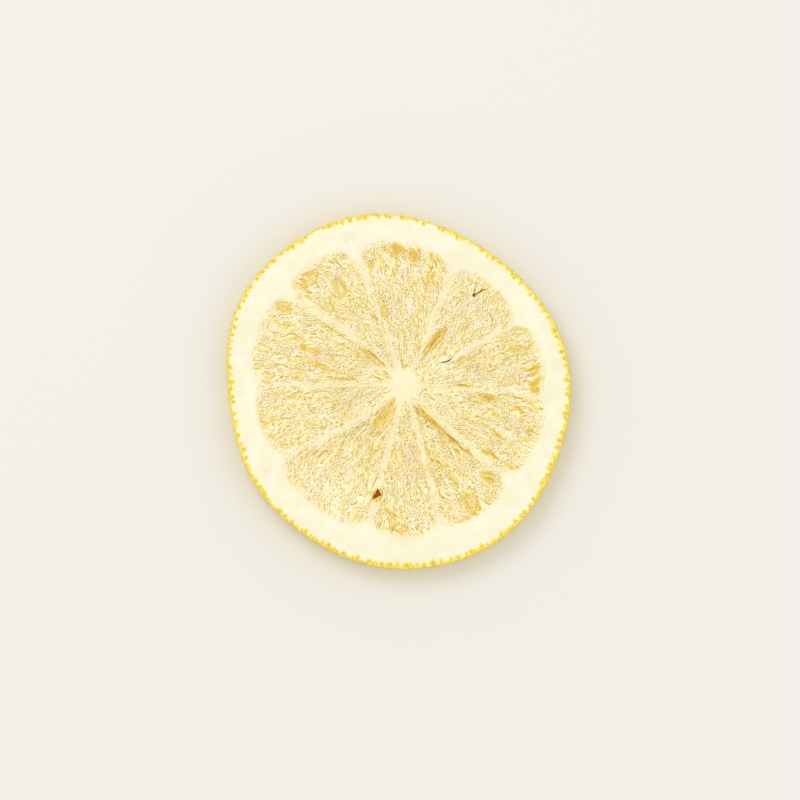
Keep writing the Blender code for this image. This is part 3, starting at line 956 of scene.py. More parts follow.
fleshLook = {
    # noises: scale, detail and sometimes roughness
    "threads": (3.8, 2.0, 0.5),
    "fibre": (1.8, 0.5),
    "strand": (2.3, 0.5),
    "paintedGleam": (1.9, 0.0),
    "net": (2300.0, 0.0),
    "crumbs": (2300.0, 1.0),
    "patches": (240.0, 2.0),
    "busy": (260.0, 1.5),
    # grain of painted light and shade, as if lit from one side: scale, step aside
    "litGrit": (4000.0, 0.00008),
    "litDash": (4.4, 0.08),
    # thin golden lines, each with a pale painted highlight beside it: how far apart, how thin
    "fibreLines": (0.08, 7.0),
    "netLines": (0.09, 7.0),
    "strandLines": (0.055, 9.0),
    "lineStrength": (0.22, 0.16),       # along the threads, and in the net
    # shares: where the flesh is calm, and how much more or less where it is busy
    "litGritShare": (1.1, 2.4),
    "litDashShare": (2.9, -1.3),
    "lineShare": (1.2, -0.4),
    "strandShare": (0.22, -0.14),
    # what they add to the tone
    "patchTone": 0.12,
    "lineTone": -0.4,
    "litShadeTone": 0.2,
    "threadTone": 0.3,
    # coats: where the mask starts and is full, and how much shows there
    "blush": (0.48, 0.66, 0.5),
    "fleck": (0.20, 0.90, 0.85),
    "paintedHighlight": (0.45, 0.53, 0.9),
    "juice": (0.0, 0.24, 0.85),
    "tornEdge": (0.24, 0.42, 1.0),
    "torn": (0.5, 0.9, 1.0),
    "slope": (0.02, 0.30, 0.8),
    "roughness": (0.72, 0.34, 0.08),    # of the pith, and how much less on the pulp and on pooled juice
    "bump": (0.4, 0.05),                # strength, and depth in mm
}

pithLook = {
    "mottle": (420.0, 4.0),
    "cloud": (130.0, 2.0),
    "shade": (0.5, 0.75, 0.35),
    "crease": 0.6,
    "bruise": 0.6,
    "sponge": (3600.0, 3.0, 0.6),
    "bump": (0.75, 0.11),
}

rindLook = {
    "fleck": (900.0, 4.0, 0.6),
    "streaks": (3.4, 1.0),
    "dots": (4600.0, 0.0),
    "ragged": 1.1,              # the streaks in the edge of the yellow
    "yellow": (0.25, 0.85),
    "zest": (0.82, 1.2),
    "oil": (0.3, 0.8),
    "darkDots": (0.60, 0.74),
    "paleDots": (0.40, 0.28),
}


def pithColour(wire, place, peelYellow, bruise, crease):
    mottle = place.noise(*pithLook["mottle"])
    base = wire.blend(mottle.ramp(0.35, 0.7), tints["pith"], tints["pithPale"])
    base = base.coat(place.noise(*pithLook["cloud"]), pithLook["shade"], tints["pithShade"])
    # the crease in its own gold, partly painted shade
    base = wire.blend(crease * pithLook["crease"], base, tints["creaseGoldAndShade"])
    base = wire.blend(bruise * pithLook["bruise"], base, tints["bruise"])
    return wire.blend(peelYellow, base, tints["flavedo"])


def fleshColour(wire, place, grain, tone, pocket, threads, litGrit, crumbs):
    look = fleshLook
    busy = place.noise(*look["busy"]).ramp(0.40, 0.60)  # some of it has kept its threads, some is grainy
    calm = tone.ramp(0.10, 0.55) * 0.6 + 0.4  # juice that has pooled is smooth
    share = {name: busy * look[name][1] + look[name][0] for name in look if name.endswith("Share")}
    litDash = grain.stretch((1.0, 2.0, 1.0)).litNoise(*look["litDash"])
    # painted light and shade of the lit grain and dashes
    litShade = (litGrit * share["litGritShare"] + litDash * share["litDashShare"]) * calm
    fibreStrength, netStrength = look["lineStrength"]
    lines = grain.noise(*look["fibre"]).pair(*look["fibreLines"]) * fibreStrength
    lines = lines + place.noise(*look["net"]).pair(*look["netLines"]) * netStrength
    lines = lines * share["lineShare"] * calm
    strands = grain.stretch((1.0, 0.4, 1.0)).noise(*look["strand"]).pair(*look["strandLines"])
    patches = place.noise(*look["patches"])
    mixed = tone + (patches - 0.5) * look["patchTone"] + lines * look["lineTone"]
    mixed = mixed + litShade * look["litShadeTone"] + (threads - 0.5) * look["threadTone"]
    mixed = mixed + strands * share["strandShare"] * calm
    flesh = wire.make("ShaderNodeValToRGB", {"stops": fleshTones}, {0: mixed})
    flesh = flesh.coat(patches, look["blush"], tints["blush"])
    # painted shade: dark flecks where the lit grain is shaded, and along the golden lines
    rough = lines * 0.4 - litShade
    flesh = flesh.coat(rough, look["fleck"], tints["fleck"])
    amber = wire.blend((threads + crumbs * 0.5).ramp(0.58, 0.88), tints["amberDeep"], tints["amber"])
    flesh = wire.blend(pocket * 0.85, flesh, amber)
    # painted highlight: pale glints where the lit grain is lit
    flesh = wire.blend((0 - rough).ramp(0.20, 0.70) * (0.9 - pocket * 0.5), flesh, tints["paintedGlint"])
    paintedHighlight = grain.noise(*look["paintedGleam"]) * 0.6 + litGrit * 0.8  # small painted wet-looking highlights
    return flesh.coat(paintedHighlight, look["paintedHighlight"], tints["paintedGleam"])


def makeFleshMaterial(name):  # dried pulp, with the membranes and pith that it meets
    material, shader, wire, place, grain = startMaterial(name, 0.55)
    inside, tone, pocket, torn = channels(wire, "flesh")
    yellow, onWall, bruise, crease = channels(wire, "peel")
    threads = grain.noise(*fleshLook["threads"])
    crumbs = place.noise(*fleshLook["crumbs"])
    # a grain of painted light and shade, also used as a bump
    litGrit = place.litNoise(*fleshLook["litGrit"])
    flesh = fleshColour(wire, place, grain, tone, pocket, threads, litGrit, crumbs)
    skin = pithColour(wire, place, yellow, bruise, crease)
    skin = wire.blend(onWall, skin, tints["membrane"])
    bare = (inside + onWall * threads.ramp(0.60, 0.36) * 0.25).least(1.0)  # streaks cross the membranes
    base = wire.blend(bare, skin, flesh)
    normal = wire.make("ShaderNodeTexCoord", {}, {}, out="Normal")
    upright = abs(wire.make("ShaderNodeSeparateXYZ", {}, {0: normal}, out="Z"))
    low, high, shows = fleshLook["slope"]  # painted shade: slopes are darkened towards gold, as light passing through the thin dry flesh would leave them
    base = wire.blend((1 - upright).ramp(low, high) * shows, base, tints["glow"], "MULTIPLY")
    # the last two are painted shade in the pit and splits
    for coat in ("juice", "tornEdge", "torn"):
        base = base.coat(torn, fleshLook[coat], tints[coat])
    base.feed(shader, "Base Color")
    rough, lessPulp, lessJuice = fleshLook["roughness"]
    (rough - inside * lessPulp - pocket * lessJuice).feed(shader, "Roughness")
    height = inside * (threads * 0.8 + litGrit * 0.3 + crumbs * 0.5) + (1 - inside) * litGrit * 0.12
    height.bump(*fleshLook["bump"]).feed(shader, "Normal")
    return material


def makePithMaterial(name):
    material, shader, wire, place, _ = startMaterial(name, 0.35)
    yellow, _, bruise, crease = channels(wire, "peel")
    pithColour(wire, place, yellow, bruise, crease).feed(shader, "Base Color")
    (0.82 - bruise * 0.3).feed(shader, "Roughness")
    sponge = place.noise(*pithLook["sponge"]) * 0.25
    sponge.bump(*pithLook["bump"]).feed(shader, "Normal")
    return material


def makeRindMaterial(name):
    material, shader, wire, place, grain = startMaterial(name, 0.45)
    yellow, gland, bruise, skin = channels(wire, "peel")
    fleck = place.noise(*rindLook["fleck"])
    streaks = grain.noise(*rindLook["streaks"])
    dots = place.noise(*rindLook["dots"])
    zest = wire.blend((fleck + streaks).ramp(*rindLook["zest"]), tints["flavedoDeep"], tints["flavedo"])
    peeled = (yellow + (streaks - 0.5) * (1 - skin) * rindLook["ragged"]).ramp(*rindLook["yellow"])
    base = wire.blend(peeled, pithColour(wire, place, yellow, bruise, 0.0), zest)
    oil = wire.blend(fleck.ramp(*rindLook["oil"]) * 0.6, tints["gland"], tints["flavedo"])
    base = wire.blend(gland, base, oil)
    dotted = peeled * (0.6 - skin * 0.4)  # less so down the side
    base = wire.blend(dots.ramp(*rindLook["darkDots"]) * dotted, base, tints["oil"])
    base = wire.blend(dots.ramp(*rindLook["paleDots"]) * dotted * 0.8, base, tints["pithPale"])
    base.feed(shader, "Base Color")
    (0.8 - yellow.ramp(0.34, 0.9) * 0.3 - gland * 0.12).feed(shader, "Roughness")
    sponge = place.noise(*pithLook["sponge"]) * 0.25 + skin * fleck * 0.8
    sponge.bump(*pithLook["bump"]).feed(shader, "Normal")
    return material


# ---- segments
def columnsOf(index):  # how many columns a segment has, from its width at the pith
    left, right = anglesOf(index)
    return round(float(right - left) * slab["pulpRadius"] / grid["acrossStep"])


def makeSegment(index, material):
    columns, rows = columnsOf(index), grid["rows"]
    clearSelection()
    bpy.ops.mesh.primitive_grid_add(x_subdivisions=columns, y_subdivisions=rows, size=1, calc_uvs=False)
    piece = bpy.context.object
    bpy.ops.object.mode_set(mode="EDIT")
    bpy.ops.mesh.select_all(action="SELECT")
    bpy.ops.mesh.extrude_region_move(TRANSFORM_OT_translate={"value": (0, 0, 1)})
    bpy.ops.object.mode_set(mode="OBJECT")
    u, v, upper = (pointsOf(piece.data) + (0.5, 0.5, 0.0)).T
    left, right = anglesOf(index)
    outward = left + (right - left) * u
    far = pulpReach(outward) + grid["ringSeam"]
    distance = grid["coreSeam"] + (far - grid["coreSeam"]) * v
    left, right = anglesOf(index, distance)
    angle = left + (right - left) * u
    angle = angle + (outward - angle) * smooth(v, 0.85, 1.0)  # so that it meets the ring point to point
    x, y = fromCore(distance, angle)
    shapeFaces(piece, x, y, upper > 0.5)
    mapGrid(piece.data, u, v, upper, columns)
    onRim = np.minimum(np.minimum(u, 1 - u) * columns, np.minimum(v, 1 - v) * rows) < 0.5
    finishPiece(piece, f"segment_{index + 1:02d}", material, onRim * (1 + upper))


def mapGrid(mesh, u, v, upper, columns):  # upper face left, lower face right, hidden walls in thin strips
    vertex, face = faceCorners(mesh)
    u, v, upper = u[vertex], v[vertex], upper[vertex]
    low, high = rangeInFace(upper, face)
    wall = high > low
    faceU = np.where(upper > 0.5, u * 0.49, 0.505 + u * 0.49)
    faceV = v * 0.96
    lowU, highU = rangeInFace(u, face)
    lowV, _ = rangeInFace(v, face)
    isSide = highU - lowU < 0.5 / columns
    strip = np.where(isSide, np.where(lowU > 0.5, 1, 0), np.where(lowV > 0.5, 3, 2))
    wallU = np.where(isSide, v, u) * 0.99
    wallV = 0.968 + 0.008 * strip + 0.006 * upper
    layMap(mesh, np.where(wall, wallU, faceU), np.where(wall, wallV, faceV))


# ---- core
def makeCore(material):
    around, down = grid["core"]
    clearSelection()
    bpy.ops.mesh.primitive_uv_sphere_add(segments=around, ring_count=down, radius=1, calc_uvs=False)
    piece = bpy.context.object
    px, py, pz = pointsOf(piece.data).T
    fall = np.arccos(np.clip(pz, -1, 1)) / math.pi  # 0 at the upper pole, 1 at the lower
    upper = fall < 0.5
    out = np.clip(np.minimum(fall, 1 - fall) / (0.5 - 1.01 / down), 0, 1) * grid["coreSeam"]
    x, y = fromCore(out, np.arctan2(py, px))
    shapeFaces(piece, x, y, upper)
    middle = np.abs(fall - 0.5) < 0.5 / down  # one ring half way down the hidden wall
    points = pointsOf(piece.data)
    points[middle, 2] = slab["thickness"] / 2 * mm
    movePoints(piece, points)
    vertex, _ = faceCorners(piece.data)
    spread = 0.23 / grid["coreSeam"]  # the upper face is mapped left, the lower one right
    u = np.where(upper, 0.25, 0.75) + (x - slab["core"][0]) * spread
    v = 0.5 + (y - slab["core"][1]) * 2 * spread
    layMap(piece.data, u[vertex], v[vertex])
    onRim = (out > grid["coreSeam"] * 0.999) & ~middle
    finishPiece(piece, "core", material, onRim * np.where(upper, 1, 2))


# ---- pith ring and rind
rind = {
    "inset": 1.6,                   # width of the ring that the rind has on each cut face
    "edgeRound": 0.32,
    "bulge": 0.14,
    "glandsRound": 136,             # oil glands in one turn
    "glandRows": 5,                 # and down the side
    "pebble": 0.15,
    "rough": (0.6, 0.035),          # size and height
    "roughFine": (0.28, 0.02),
    "glandMiddle": (0.30, 0.72),    # from the edge
    "glandSize": (0.46, 0.86),
    "glandsMissing": 0.12,
    "glandDepth": 0.07,
    "lineWidth": (0.46, 0.66),      # yellow line along the edge
    "lineWidest": -35.0,            # the direction in which the slanting cut widens it most
    "flames": 0.30,                 # how far tongues of yellow reach in
    "linePatchy": 0.50,
}


def ringAngles():  # one for each column of the segments, so that the pieces meet point to point
    angles = []
    for index in range(len(membranes)):
        left, right = anglesOf(index)
        columns = columnsOf(index)
        angles += list(left + (right - left) * np.arange(columns) / columns)
    return np.array(angles)


def startRing(angles, rows):  # a strip joined end to end both ways, and each point's column and row
    clearSelection()
    columns = len(angles)
    bpy.ops.mesh.primitive_grid_add(x_subdivisions=columns, y_subdivisions=rows, size=1, calc_uvs=False)
    piece = bpy.context.object
    u, v, _ = (pointsOf(piece.data) + (0.5, 0.5, 0.0)).T
    around = 2 * math.pi * (np.round(u * columns).astype(int) % columns) / columns
    tube = 2 * math.pi * (np.round(v * rows).astype(int) % rows) / rows
    out = 1 + 0.3 * np.cos(tube)
    movePoints(piece, np.stack([out * np.cos(around), out * np.sin(around), 0.3 * np.sin(tube)], axis=1))
    bpy.ops.object.mode_set(mode="EDIT")
    bpy.ops.mesh.select_all(action="SELECT")
    bpy.ops.mesh.remove_doubles(threshold=1e-5)
    bpy.ops.object.mode_set(mode="OBJECT")
    px, py, pz = pointsOf(piece.data).T
    around, tube = np.arctan2(py, px), np.arctan2(pz, np.hypot(px, py) - 1)
    column = np.round(around / (2 * math.pi) * columns).astype(int) % columns
    row = np.round(tube / (2 * math.pi) * rows).astype(int) % rows
    return piece, column, row


def mapRing(mesh, column, row, columns, rows, strips):  # the ring cut into strips, one above the other
    vertex, face = faceCorners(mesh)
    c, r = column[vertex].astype(float), row[vertex].astype(float)
    for values, count in ((c, columns), (r, rows)):
        low, high = rangeInFace(values, face)
        values += np.where((high - low > count / 2) & (values < count / 2), count, 0)
    lowC, _ = rangeInFace(c, face)
    strip = np.floor(lowC * strips / columns)
    layMap(mesh, (c * strips / columns - strip) * 0.985, (strip + r / rows * 0.97) / strips)


def makePithRing(material, angles):
    rowsUp, rowsDown = grid["ring"]
    share = np.concatenate([np.linspace(0, 1, rowsUp), np.linspace(1, 0, rowsDown)])
    rows = len(share)
    piece, column, row = startRing(angles, rows)
    angle = angles[column]
    near = pulpReach(angle) + grid["ringSeam"]
    far = rindReach(angle) - rind["inset"]
    x, y = fromCore(near + (far - near) * share[row], angle)
    shapeFaces(piece, x, y, row < rowsUp)
    mapRing(piece.data, column, row, len(angles), rows, 5)
    rims = np.select([row == 0, row == rowsUp - 1, row == rowsUp, row == rows - 1], [1, 2, 3, 4], 0)
    finishPiece(piece, "pith_ring", material, rims)


def openGlands(turnShare, toEdge, facing, side):  # glands cut open at the edge, and the yellow round them
    count = rind["glandsRound"]
    place = turnShare * count
    table = dice((count, 6), 31 + side)
    core, halo = np.zeros((2, *place.shape))
    pitch = 2 * math.pi * slab["meanRadius"] / count
    near, far = rind["glandMiddle"]
    small, large = rind["glandSize"]
    for step in (-1, 0, 1):
        cell = (np.floor(place).astype(int) + step) % count
        sideways, inward, long, size, missing, strong = table[cell].T
        middle = np.floor(place) + step + 0.5 + 0.7 * (sideways - 0.5)
        half = (small + (large - small) * size) / 2
        across = (place - middle) * pitch / half
        along = (toEdge - near - (far - near) * inward) / (half * (0.9 + 0.5 * long + 0.5 * facing))
        out = np.sqrt(across**2 + along**2)
        shown = (missing > rind["glandsMissing"]) * (0.55 + 0.45 * strong)
        core = np.maximum(core, smooth(1.1 - out, 0, 0.75) * shown)
        halo = np.maximum(halo, smooth(1.9 - out, 0, 1.1) * shown)
    return core, halo


def rindSection():  # each row's inset from the edge, share of the way up, and rise for the rounded edges
    inset, edge = rind["inset"], rind["edgeRound"]
    flat, bend, wall, under = grid["rind"]
    quarter = np.linspace(0, math.pi / 2, bend, endpoint=False)
    ins = np.concatenate([
        np.linspace(inset, edge, flat, endpoint=False),
        edge * (1 - np.sin(quarter)),
        np.zeros(wall),
        edge * (1 - np.cos(quarter)),
        np.linspace(edge, inset, under),
    ])
    rise = np.concatenate([np.ones(flat + bend), np.linspace(1, 0, wall), np.zeros(bend + under)])
    more = np.concatenate([
        np.zeros(flat),
        -edge * (1 - np.cos(quarter)),
        np.linspace(-edge, edge, wall),
        edge * (1 - np.sin(quarter)),
        np.zeros(under),
    ])
    return ins, rise, more


def peelRelief(x, y, height, turnShare):  # pebbles over the oil glands of the side wall
    rows = height / slab["thickness"] * rind["glandRows"]
    inTurn = rind["glandsRound"]
    first, second, number = cells(turnShare * inTurn, rows, seed=33, around=inTurn)
    dome = smooth(0.52 - first, 0, 0.4)
    seam = 1 - smooth(second - first, 0, 0.25)
    relief = rind["pebble"] * (dome - 0.45 - 0.25 * seam)
    for (size, high), seed in ((rind["rough"], 34), (rind["roughFine"], 35)):
        relief = relief + high * lattice(x / size, y / size, height / size, seed=seed)
    return relief, dome * (0.6 + 0.4 * number)


def edgeYellow(angle, toEdge, facing, halo, flatPart):  # the line, and a glow beside it and round glands
    rim = angle * slab["meanRadius"]
    patch = 0.5 + 0.5 * pattern("linePatch", rim, 0.0)
    flames = pattern("flame", rim, toEdge) + 0.8 * pattern("flameWide", rim, toEdge)
    narrow, wide = rind["lineWidth"]
    reachIn = narrow + (wide - narrow) * facing + rind["flames"] * flames
    reachIn = reachIn + rind["linePatchy"] * (patch - 0.5)
    line = smooth(reachIn + 0.16 - toEdge, 0, 0.34)
    glow = (0.34 + 0.16 * facing) * smooth(reachIn + 0.5 + rind["flames"] * flames - toEdge, 0, 0.8)
    return np.maximum(np.maximum(line, glow * flatPart), 0.8 * halo * flatPart)


def makeRind(material, angles):
    ins, rise, more = rindSection()
    piece, column, row = startRing(angles, len(ins))
    angle, toEdge, upShare, more = angles[column], ins[row], rise[row], more[row]
    edge, thickness = rind["edgeRound"], slab["thickness"]
    height = thickness * upShare + more
    onWall = smooth(edge * 1.2 - toEdge, 0, edge)
    belly = rind["bulge"] * (1 - (2 * upShare - 1) ** 2) * (toEdge == 0)
    taper = slab["underTaper"] * (1 - height / thickness) * smooth(rind["inset"] - toEdge, 0, 0.5)
    x, y = fromCore(rindReach(angle) - (toEdge + taper - belly), angle)
    turnShare = (angle / (2 * math.pi)) % 1
    relief, domes = peelRelief(x, y, height, turnShare)
    out = relief * onWall
    x, y = x + out * np.cos(angle), y + out * np.sin(angle)

    isTop = upShare > 0.5
    faceZ, flesh, peel, _ = facesAt(x, y, isTop)
    bottom, top = lift(x, y), faceLevel(x, y, 1)
    onFace = (upShare == 1) | (upShare == 0)
    z = np.where(onFace, faceZ, bottom + (top - bottom) * upShare) + more
    facing = 0.5 + 0.5 * np.cos(angle - math.radians(rind["lineWidest"]))
    glandTop, haloTop = openGlands(turnShare, toEdge, facing, 1)
    glandLow, haloLow = openGlands(turnShare, toEdge, facing, -1)
    gland, halo = np.where(isTop, glandTop, glandLow), np.where(isTop, haloTop, haloLow)
    flatPart = (1 - onWall) * smooth(rind["inset"] - 0.05 - toEdge, 0, 0.25)
    z = z - np.where(isTop, 1, -1) * rind["glandDepth"] * gland * flatPart
    z = np.maximum(z, 0.0)
    placePoints(piece, x, y, z)

    yellow = edgeYellow(angle, toEdge, facing, halo, flatPart)
    peel[:, 0] = np.clip(np.maximum(peel[:, 0], yellow), 0, 1)
    peel[:, 1] = np.clip(gland * flatPart + onWall * 0.9 * domes, 0, 1)
    peel[:, 3] = onWall
    around = slab["meanRadius"]
    grain = np.stack([around * np.cos(angle), around * np.sin(angle), 0.2 * toEdge + 0.5 * z], axis=1)
    paint(piece.data, flesh, peel, grain)
    mapRing(piece.data, column, row, len(angles), len(ins), 6)
    rims = np.select([row == 0, row == len(ins) - 1], [1, 2], 0)
    finishPiece(piece, "rind", material, rims)


# ---- loose threads and flakes that lie on the pulp
threadForm = {
    "sections": 6,
    "reach": (3.2, 24.0),           # distances from the core between which their middles lie
    "drift": 0.035,                 # how far they stray over their segment's width
    "crossing": (0.12, 0.16),       # share that lies across the others, and how far across
    "swing": 0.012,
    "sunk": 0.25,                   # how deep they lie in the flesh, by their own radius
}
threadsOnTop = {"count": 420, "length": (1.2, 6.5), "thick": (0.030, 0.060), "arch": 0.08, "seed": 51}
threadsBelow = {"count": 360, "length": (1.2, 6.0), "thick": (0.030, 0.060), "arch": 0.06, "seed": 52}

flakeForm = {
    "reach": (3.4, 24.6),
    "stretch": (0.7, 1.5),
    "flat": 0.6,
    "knobs": 0.28,
    "turn": 0.5,                    # how far they turn and tip, in radians
    "pale": (0.95, 0.25),
}
flakesOnTop = {"count": 700, "size": (0.08, 0.18), "seed": 53}
flakesBelow = {"count": 600, "size": (0.08, 0.18), "seed": 54}
copyStep = 4.0                      # the copies stand in a row until they are put in place


def drawPlaces(count, draw, nearest, furthest):  # a segment, a share of its width and a distance
    index = draw.integers(0, len(membranes), count)
    share = draw.uniform(0.05, 0.95, count)
    distance = np.sqrt(draw.uniform(nearest**2, furthest**2, count))
    return index, share, distance


def fewLarge(draw, limits, count):  # sizes between two limits, mostly small ones
    return limits[0] + (limits[1] - limits[0]) * draw.random(count) ** 2


def angleIn(index, share, distance):
    left, right = np.zeros((2, *distance.shape))
    for number in range(len(membranes)):
        here = index == number
        left[here], right[here] = anglesOf(number, distance[here])
    return left + (right - left) * share


def copyInRow(piece, count):  # gives each point's place in its own copy, and that copy's number
    each = len(piece.data.vertices)
    clearSelection()
    bpy.context.view_layer.objects.active = piece
    piece.select_set(True)
    row = piece.modifiers.new("copies", "ARRAY")
    row.count = count
    row.use_relative_offset = False
    row.use_constant_offset = True
    row.constant_offset_displace = (copyStep, 0, 0)
    bpy.ops.object.modifier_apply(modifier=row.name)
    points = pointsOf(piece.data)
    number = np.arange(len(points)) // each
    points[:, 0] -= copyStep * number
    return points, number


def mapCopies(mesh, copyNumber, copies, u, v):  # each copy has a cell of its own in the map
    side = math.ceil(math.sqrt(copies))
    vertex, _ = faceCorners(mesh)
    cellOf = copyNumber[vertex]
    layMap(mesh, (cellOf % side + 0.04 + 0.92 * u) / side, (cellOf // side + 0.04 + 0.92 * v) / side)


def paintLoose(piece, pale, grain):  # flesh all over
    zero = np.zeros(len(pale))
    flesh = np.stack([zero + 1, pale, zero, zero], axis=1)
    paint(piece.data, flesh, np.zeros((len(pale), 4)), np.stack(grain, axis=1))


def makeThreads(plan, side, name, material):
    form = threadForm
    clearSelection()
    bpy.ops.mesh.primitive_cylinder_add(vertices=3, radius=1, depth=1, calc_uvs=False)
    piece = bpy.context.object
    bpy.ops.object.mode_set(mode="EDIT")
    for section in range(1, form["sections"]):
        bpy.ops.mesh.select_all(action="SELECT")
        bpy.ops.mesh.bisect(plane_co=(0, 0, section / form["sections"] - 0.5), plane_no=(0, 0, 1))
    bpy.ops.object.mode_set(mode="OBJECT")
    count = plan["count"] // grid["fewer"]
    points, n = copyInRow(piece, count)
    px, py, pz = points.T

    draw = np.random.default_rng(plan["seed"])
    index, share, start = drawPlaces(count, draw, *form["reach"])
    length = fewLarge(draw, plan["length"], count)
    thick = draw.uniform(*plan["thick"], count)
    drift = draw.normal(0, form["drift"], count)
    crossing, far = form["crossing"]
    crosses = draw.random(count) < crossing
    drift = np.where(crosses, draw.normal(0, far, count), drift)
    swing = draw.normal(0, form["swing"], count)
    phase = draw.uniform(0, 6.28, count)
    arch = plan["arch"] * draw.random(count) ** 3
    pale = draw.uniform(0.45, 1.15, count)

    along = pz + 0.5
    distance = start[n] + length[n] * (along - 0.5)
    longest = pulpReach(angleIn(index[n], share[n], distance)) - 0.1
    distance = np.clip(distance, 2.6, longest)
    here = share[n] + drift[n] * (along - 0.5) + swing[n] * np.sin(phase[n] + 5 * along)
    x, y = fromCore(distance, angleIn(index[n], np.clip(here, 0.0, 1.0), distance))
    ahead = 0.02
    there = np.clip(here + drift[n] * ahead / length[n], 0, 1)
    nextX, nextY = fromCore(distance + ahead, angleIn(index[n], there, distance + ahead))
    wayX, wayY = nextX - x, nextY - y
    norm = np.hypot(wayX, wayY)
    wayX, wayY = wayX / norm, wayY / norm
    ground = fleshAt(x, y, side)[0]
    # it lies a little sunk in the flesh and is thinner at its ends, and some threads arch up
    taper = 0.25 + 0.75 * np.sin(math.pi * np.clip(along, 0.02, 0.98)) ** 0.6
    radius = thick[n] * taper
    middle = ground + side * (arch[n] * np.sin(math.pi * along) - form["sunk"] * radius)
    z = middle + py * radius
    if side < 0:
        z = np.maximum(z, 0.0)
    placePoints(piece, x - wayY * px * radius, y + wayX * px * radius, z)
    paintLoose(piece, np.clip(pale[n], 0, 1), [n * 0.37, distance * alongScale, np.full(len(n), 9.0)])
    vertex, face = faceCorners(piece.data)
    turn = ((np.arctan2(py, px) / (2 * math.pi)) % 1)[vertex]
    low, high = rangeInFace(turn, face)
    turn = np.where((high - low > 0.5) & (turn < 0.4), turn + 1, turn)
    mapCopies(piece.data, n, count, turn * 0.75, along[vertex])
    finishPiece(piece, name, material, np.zeros(len(n)))


def makeFlakes(plan, side, name, material):
    form = flakeForm
    clearSelection()
    corners = 6
    bpy.ops.mesh.primitive_uv_sphere_add(segments=corners, ring_count=4, radius=1, calc_uvs=False)
    piece = bpy.context.object
    count = plan["count"] // grid["fewer"]
    ball, n = copyInRow(piece, count)

    draw = np.random.default_rng(plan["seed"])
    index, share, distance = drawPlaces(count, draw, *form["reach"])
    angle = angleIn(index, share, distance)
    distance = np.minimum(distance, pulpReach(angle) - 0.15)
    x, y = fromCore(distance, angle)
    ground = fleshAt(x, y, side)[0]
    size = fewLarge(draw, plan["size"], count)
    stretch = draw.uniform(*form["stretch"], (count, 3)) * (0.5 * size)[:, None]
    stretch[:, 2] *= form["flat"]
    knobs = 1 + form["knobs"] * draw.normal(size=len(n))
    shape = ball * stretch[n] * np.clip(knobs, 0.6, 1.5)[:, None]
    turn = angle + draw.normal(0, form["turn"], count)
    c, s = np.cos(turn)[n], np.sin(turn)[n]
    tilt = draw.normal(0, form["turn"], count)
    ct, st = np.cos(tilt)[n], np.sin(tilt)[n]
    tippedX = shape[:, 0] * ct - shape[:, 2] * st
    tippedZ = shape[:, 0] * st + shape[:, 2] * ct
    z = ground[n] - side * 0.12 * size[n] + tippedZ
    if side < 0:
        z = np.maximum(z, 0.0)
    x = x[n] + tippedX * c - shape[:, 1] * s
    y = y[n] + tippedX * s + shape[:, 1] * c
    placePoints(piece, x, y, z)
    pale = np.clip(draw.normal(*form["pale"], count), 0.2, 1)[n]
    paintLoose(piece, pale, [n * 0.41, ball[:, 0] * 0.2, ball[:, 1] + 20])
    vertex, face = faceCorners(piece.data)
    turn = (np.arctan2(ball[:, 1], ball[:, 0]) / (2 * math.pi) % 1)[vertex]
    height = ball[:, 2][vertex]
    poles = np.abs(height) > 0.999  # a pole takes its turn from the face that it is in
    _, high = rangeInFace(np.where(poles, 0.0, turn), face)
    turn = np.where((high > 0.8) & (turn < 0.2) & ~poles, turn + 1, turn)
    _, high = rangeInFace(np.where(poles, -1e9, turn), face)
    turn = np.where(poles, high - 0.5 / corners, turn)
    mapCopies(piece.data, n, count, turn * 0.85, 0.5 + 0.5 * height)
    finishPiece(piece, name, material, np.zeros(len(n)))


# ---- stage
lookFrom = {
    "elevation": 85.0,
    "away": 0.45,                   # in metres
    "pixelsPerMm": 5.833,
    "pictureSide": 800,
    "aim": (0.2, -1.7),
}
lightPlan = {
    "sky": 0.88,
    "skyTint": (1.0, 0.985, 0.96, 1.0),
    "floor": colour(236, 234, 230),
    # name, place in metres, size and power
    "lamps": [("key", (-0.35, 0.40, 0.75), 0.5, 1.664), ("fill", (0.55, -0.25, 0.60), 0.6, 0.4)],
}


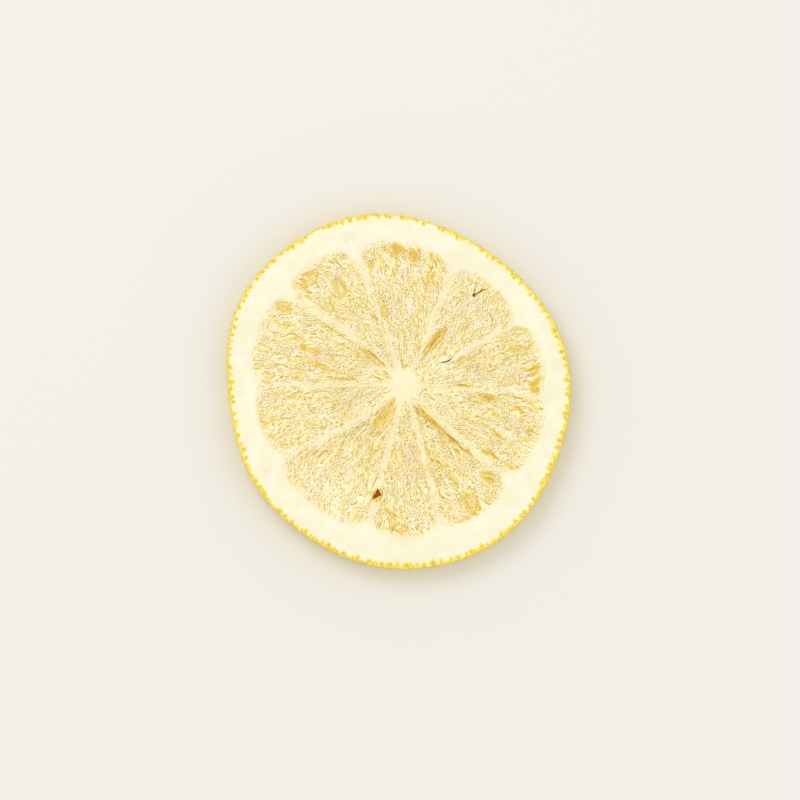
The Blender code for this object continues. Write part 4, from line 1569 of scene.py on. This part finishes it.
def makeStage():
    clearSelection()
    bpy.ops.mesh.primitive_plane_add(size=3.0, location=(0, 0, -0.0002))
    floor = bpy.context.object
    floor.name = "floor"
    material = bpy.data.materials.new("paleFloor")
    material.use_nodes = True
    shader = material.node_tree.nodes["Principled BSDF"]
    shader.inputs["Base Color"].default_value = lightPlan["floor"]
    shader.inputs["Roughness"].default_value = 0.9
    floor.data.materials.append(material)

    world = bpy.data.worlds.new("studio")
    world.use_nodes = True
    sky = world.node_tree.nodes["Background"]
    sky.inputs["Color"].default_value = lightPlan["skyTint"]
    sky.inputs["Strength"].default_value = lightPlan["sky"]
    bpy.context.scene.world = world

    for name, place, size, power in lightPlan["lamps"]:
        bpy.ops.object.light_add(type="AREA", location=place)
        lamp = bpy.context.object
        lamp.name = name
        lamp.data.shape = "DISK"
        lamp.data.size = size
        lamp.data.energy = power
        lamp.rotation_mode = "QUATERNION"
        lamp.rotation_quaternion = (-lamp.location).to_track_quat("-Z", "Y")


def makeCamera():
    rise = math.radians(lookFrom["elevation"])
    away = lookFrom["away"]
    aimX, aimY = lookFrom["aim"]
    target = (aimX * mm, aimY * mm, slab["thickness"] * mm)
    place = (target[0], target[1] - away * math.cos(rise), target[2] + away * math.sin(rise))
    bpy.ops.object.camera_add(location=place, rotation=(math.pi / 2 - rise, 0, 0))
    camera = bpy.context.object
    camera.data.sensor_width = 36.0
    camera.data.lens = 36.0 * away / (lookFrom["pictureSide"] / lookFrom["pixelsPerMm"] * mm)
    camera.data.clip_start = 0.01
    camera.data.clip_end = 20.0
    bpy.context.scene.camera = camera


makeStage()
makeCamera()
bpy.context.scene.view_settings.view_transform = "Standard"
print("stage, lights and camera done")

fleshFinish = makeFleshMaterial("driedPulp")
pithFinish = makePithMaterial("driedPith")
rindFinish = makeRindMaterial("driedRind")
print("finishes done")

for segment in range(len(membranes)):
    makeSegment(segment, fleshFinish)
print("segments done")
makeCore(fleshFinish)
columnAngles = ringAngles()
makePithRing(pithFinish, columnAngles)
makeRind(rindFinish, columnAngles)
print("core, pith ring and rind done")
makeThreads(threadsOnTop, 1, "threads_upper", fleshFinish)
makeThreads(threadsBelow, -1, "threads_lower", fleshFinish)
makeFlakes(flakesOnTop, 1, "flakes_upper", fleshFinish)
makeFlakes(flakesBelow, -1, "flakes_lower", fleshFinish)
print("threads and flakes done")

bpy.context.view_layer.update()
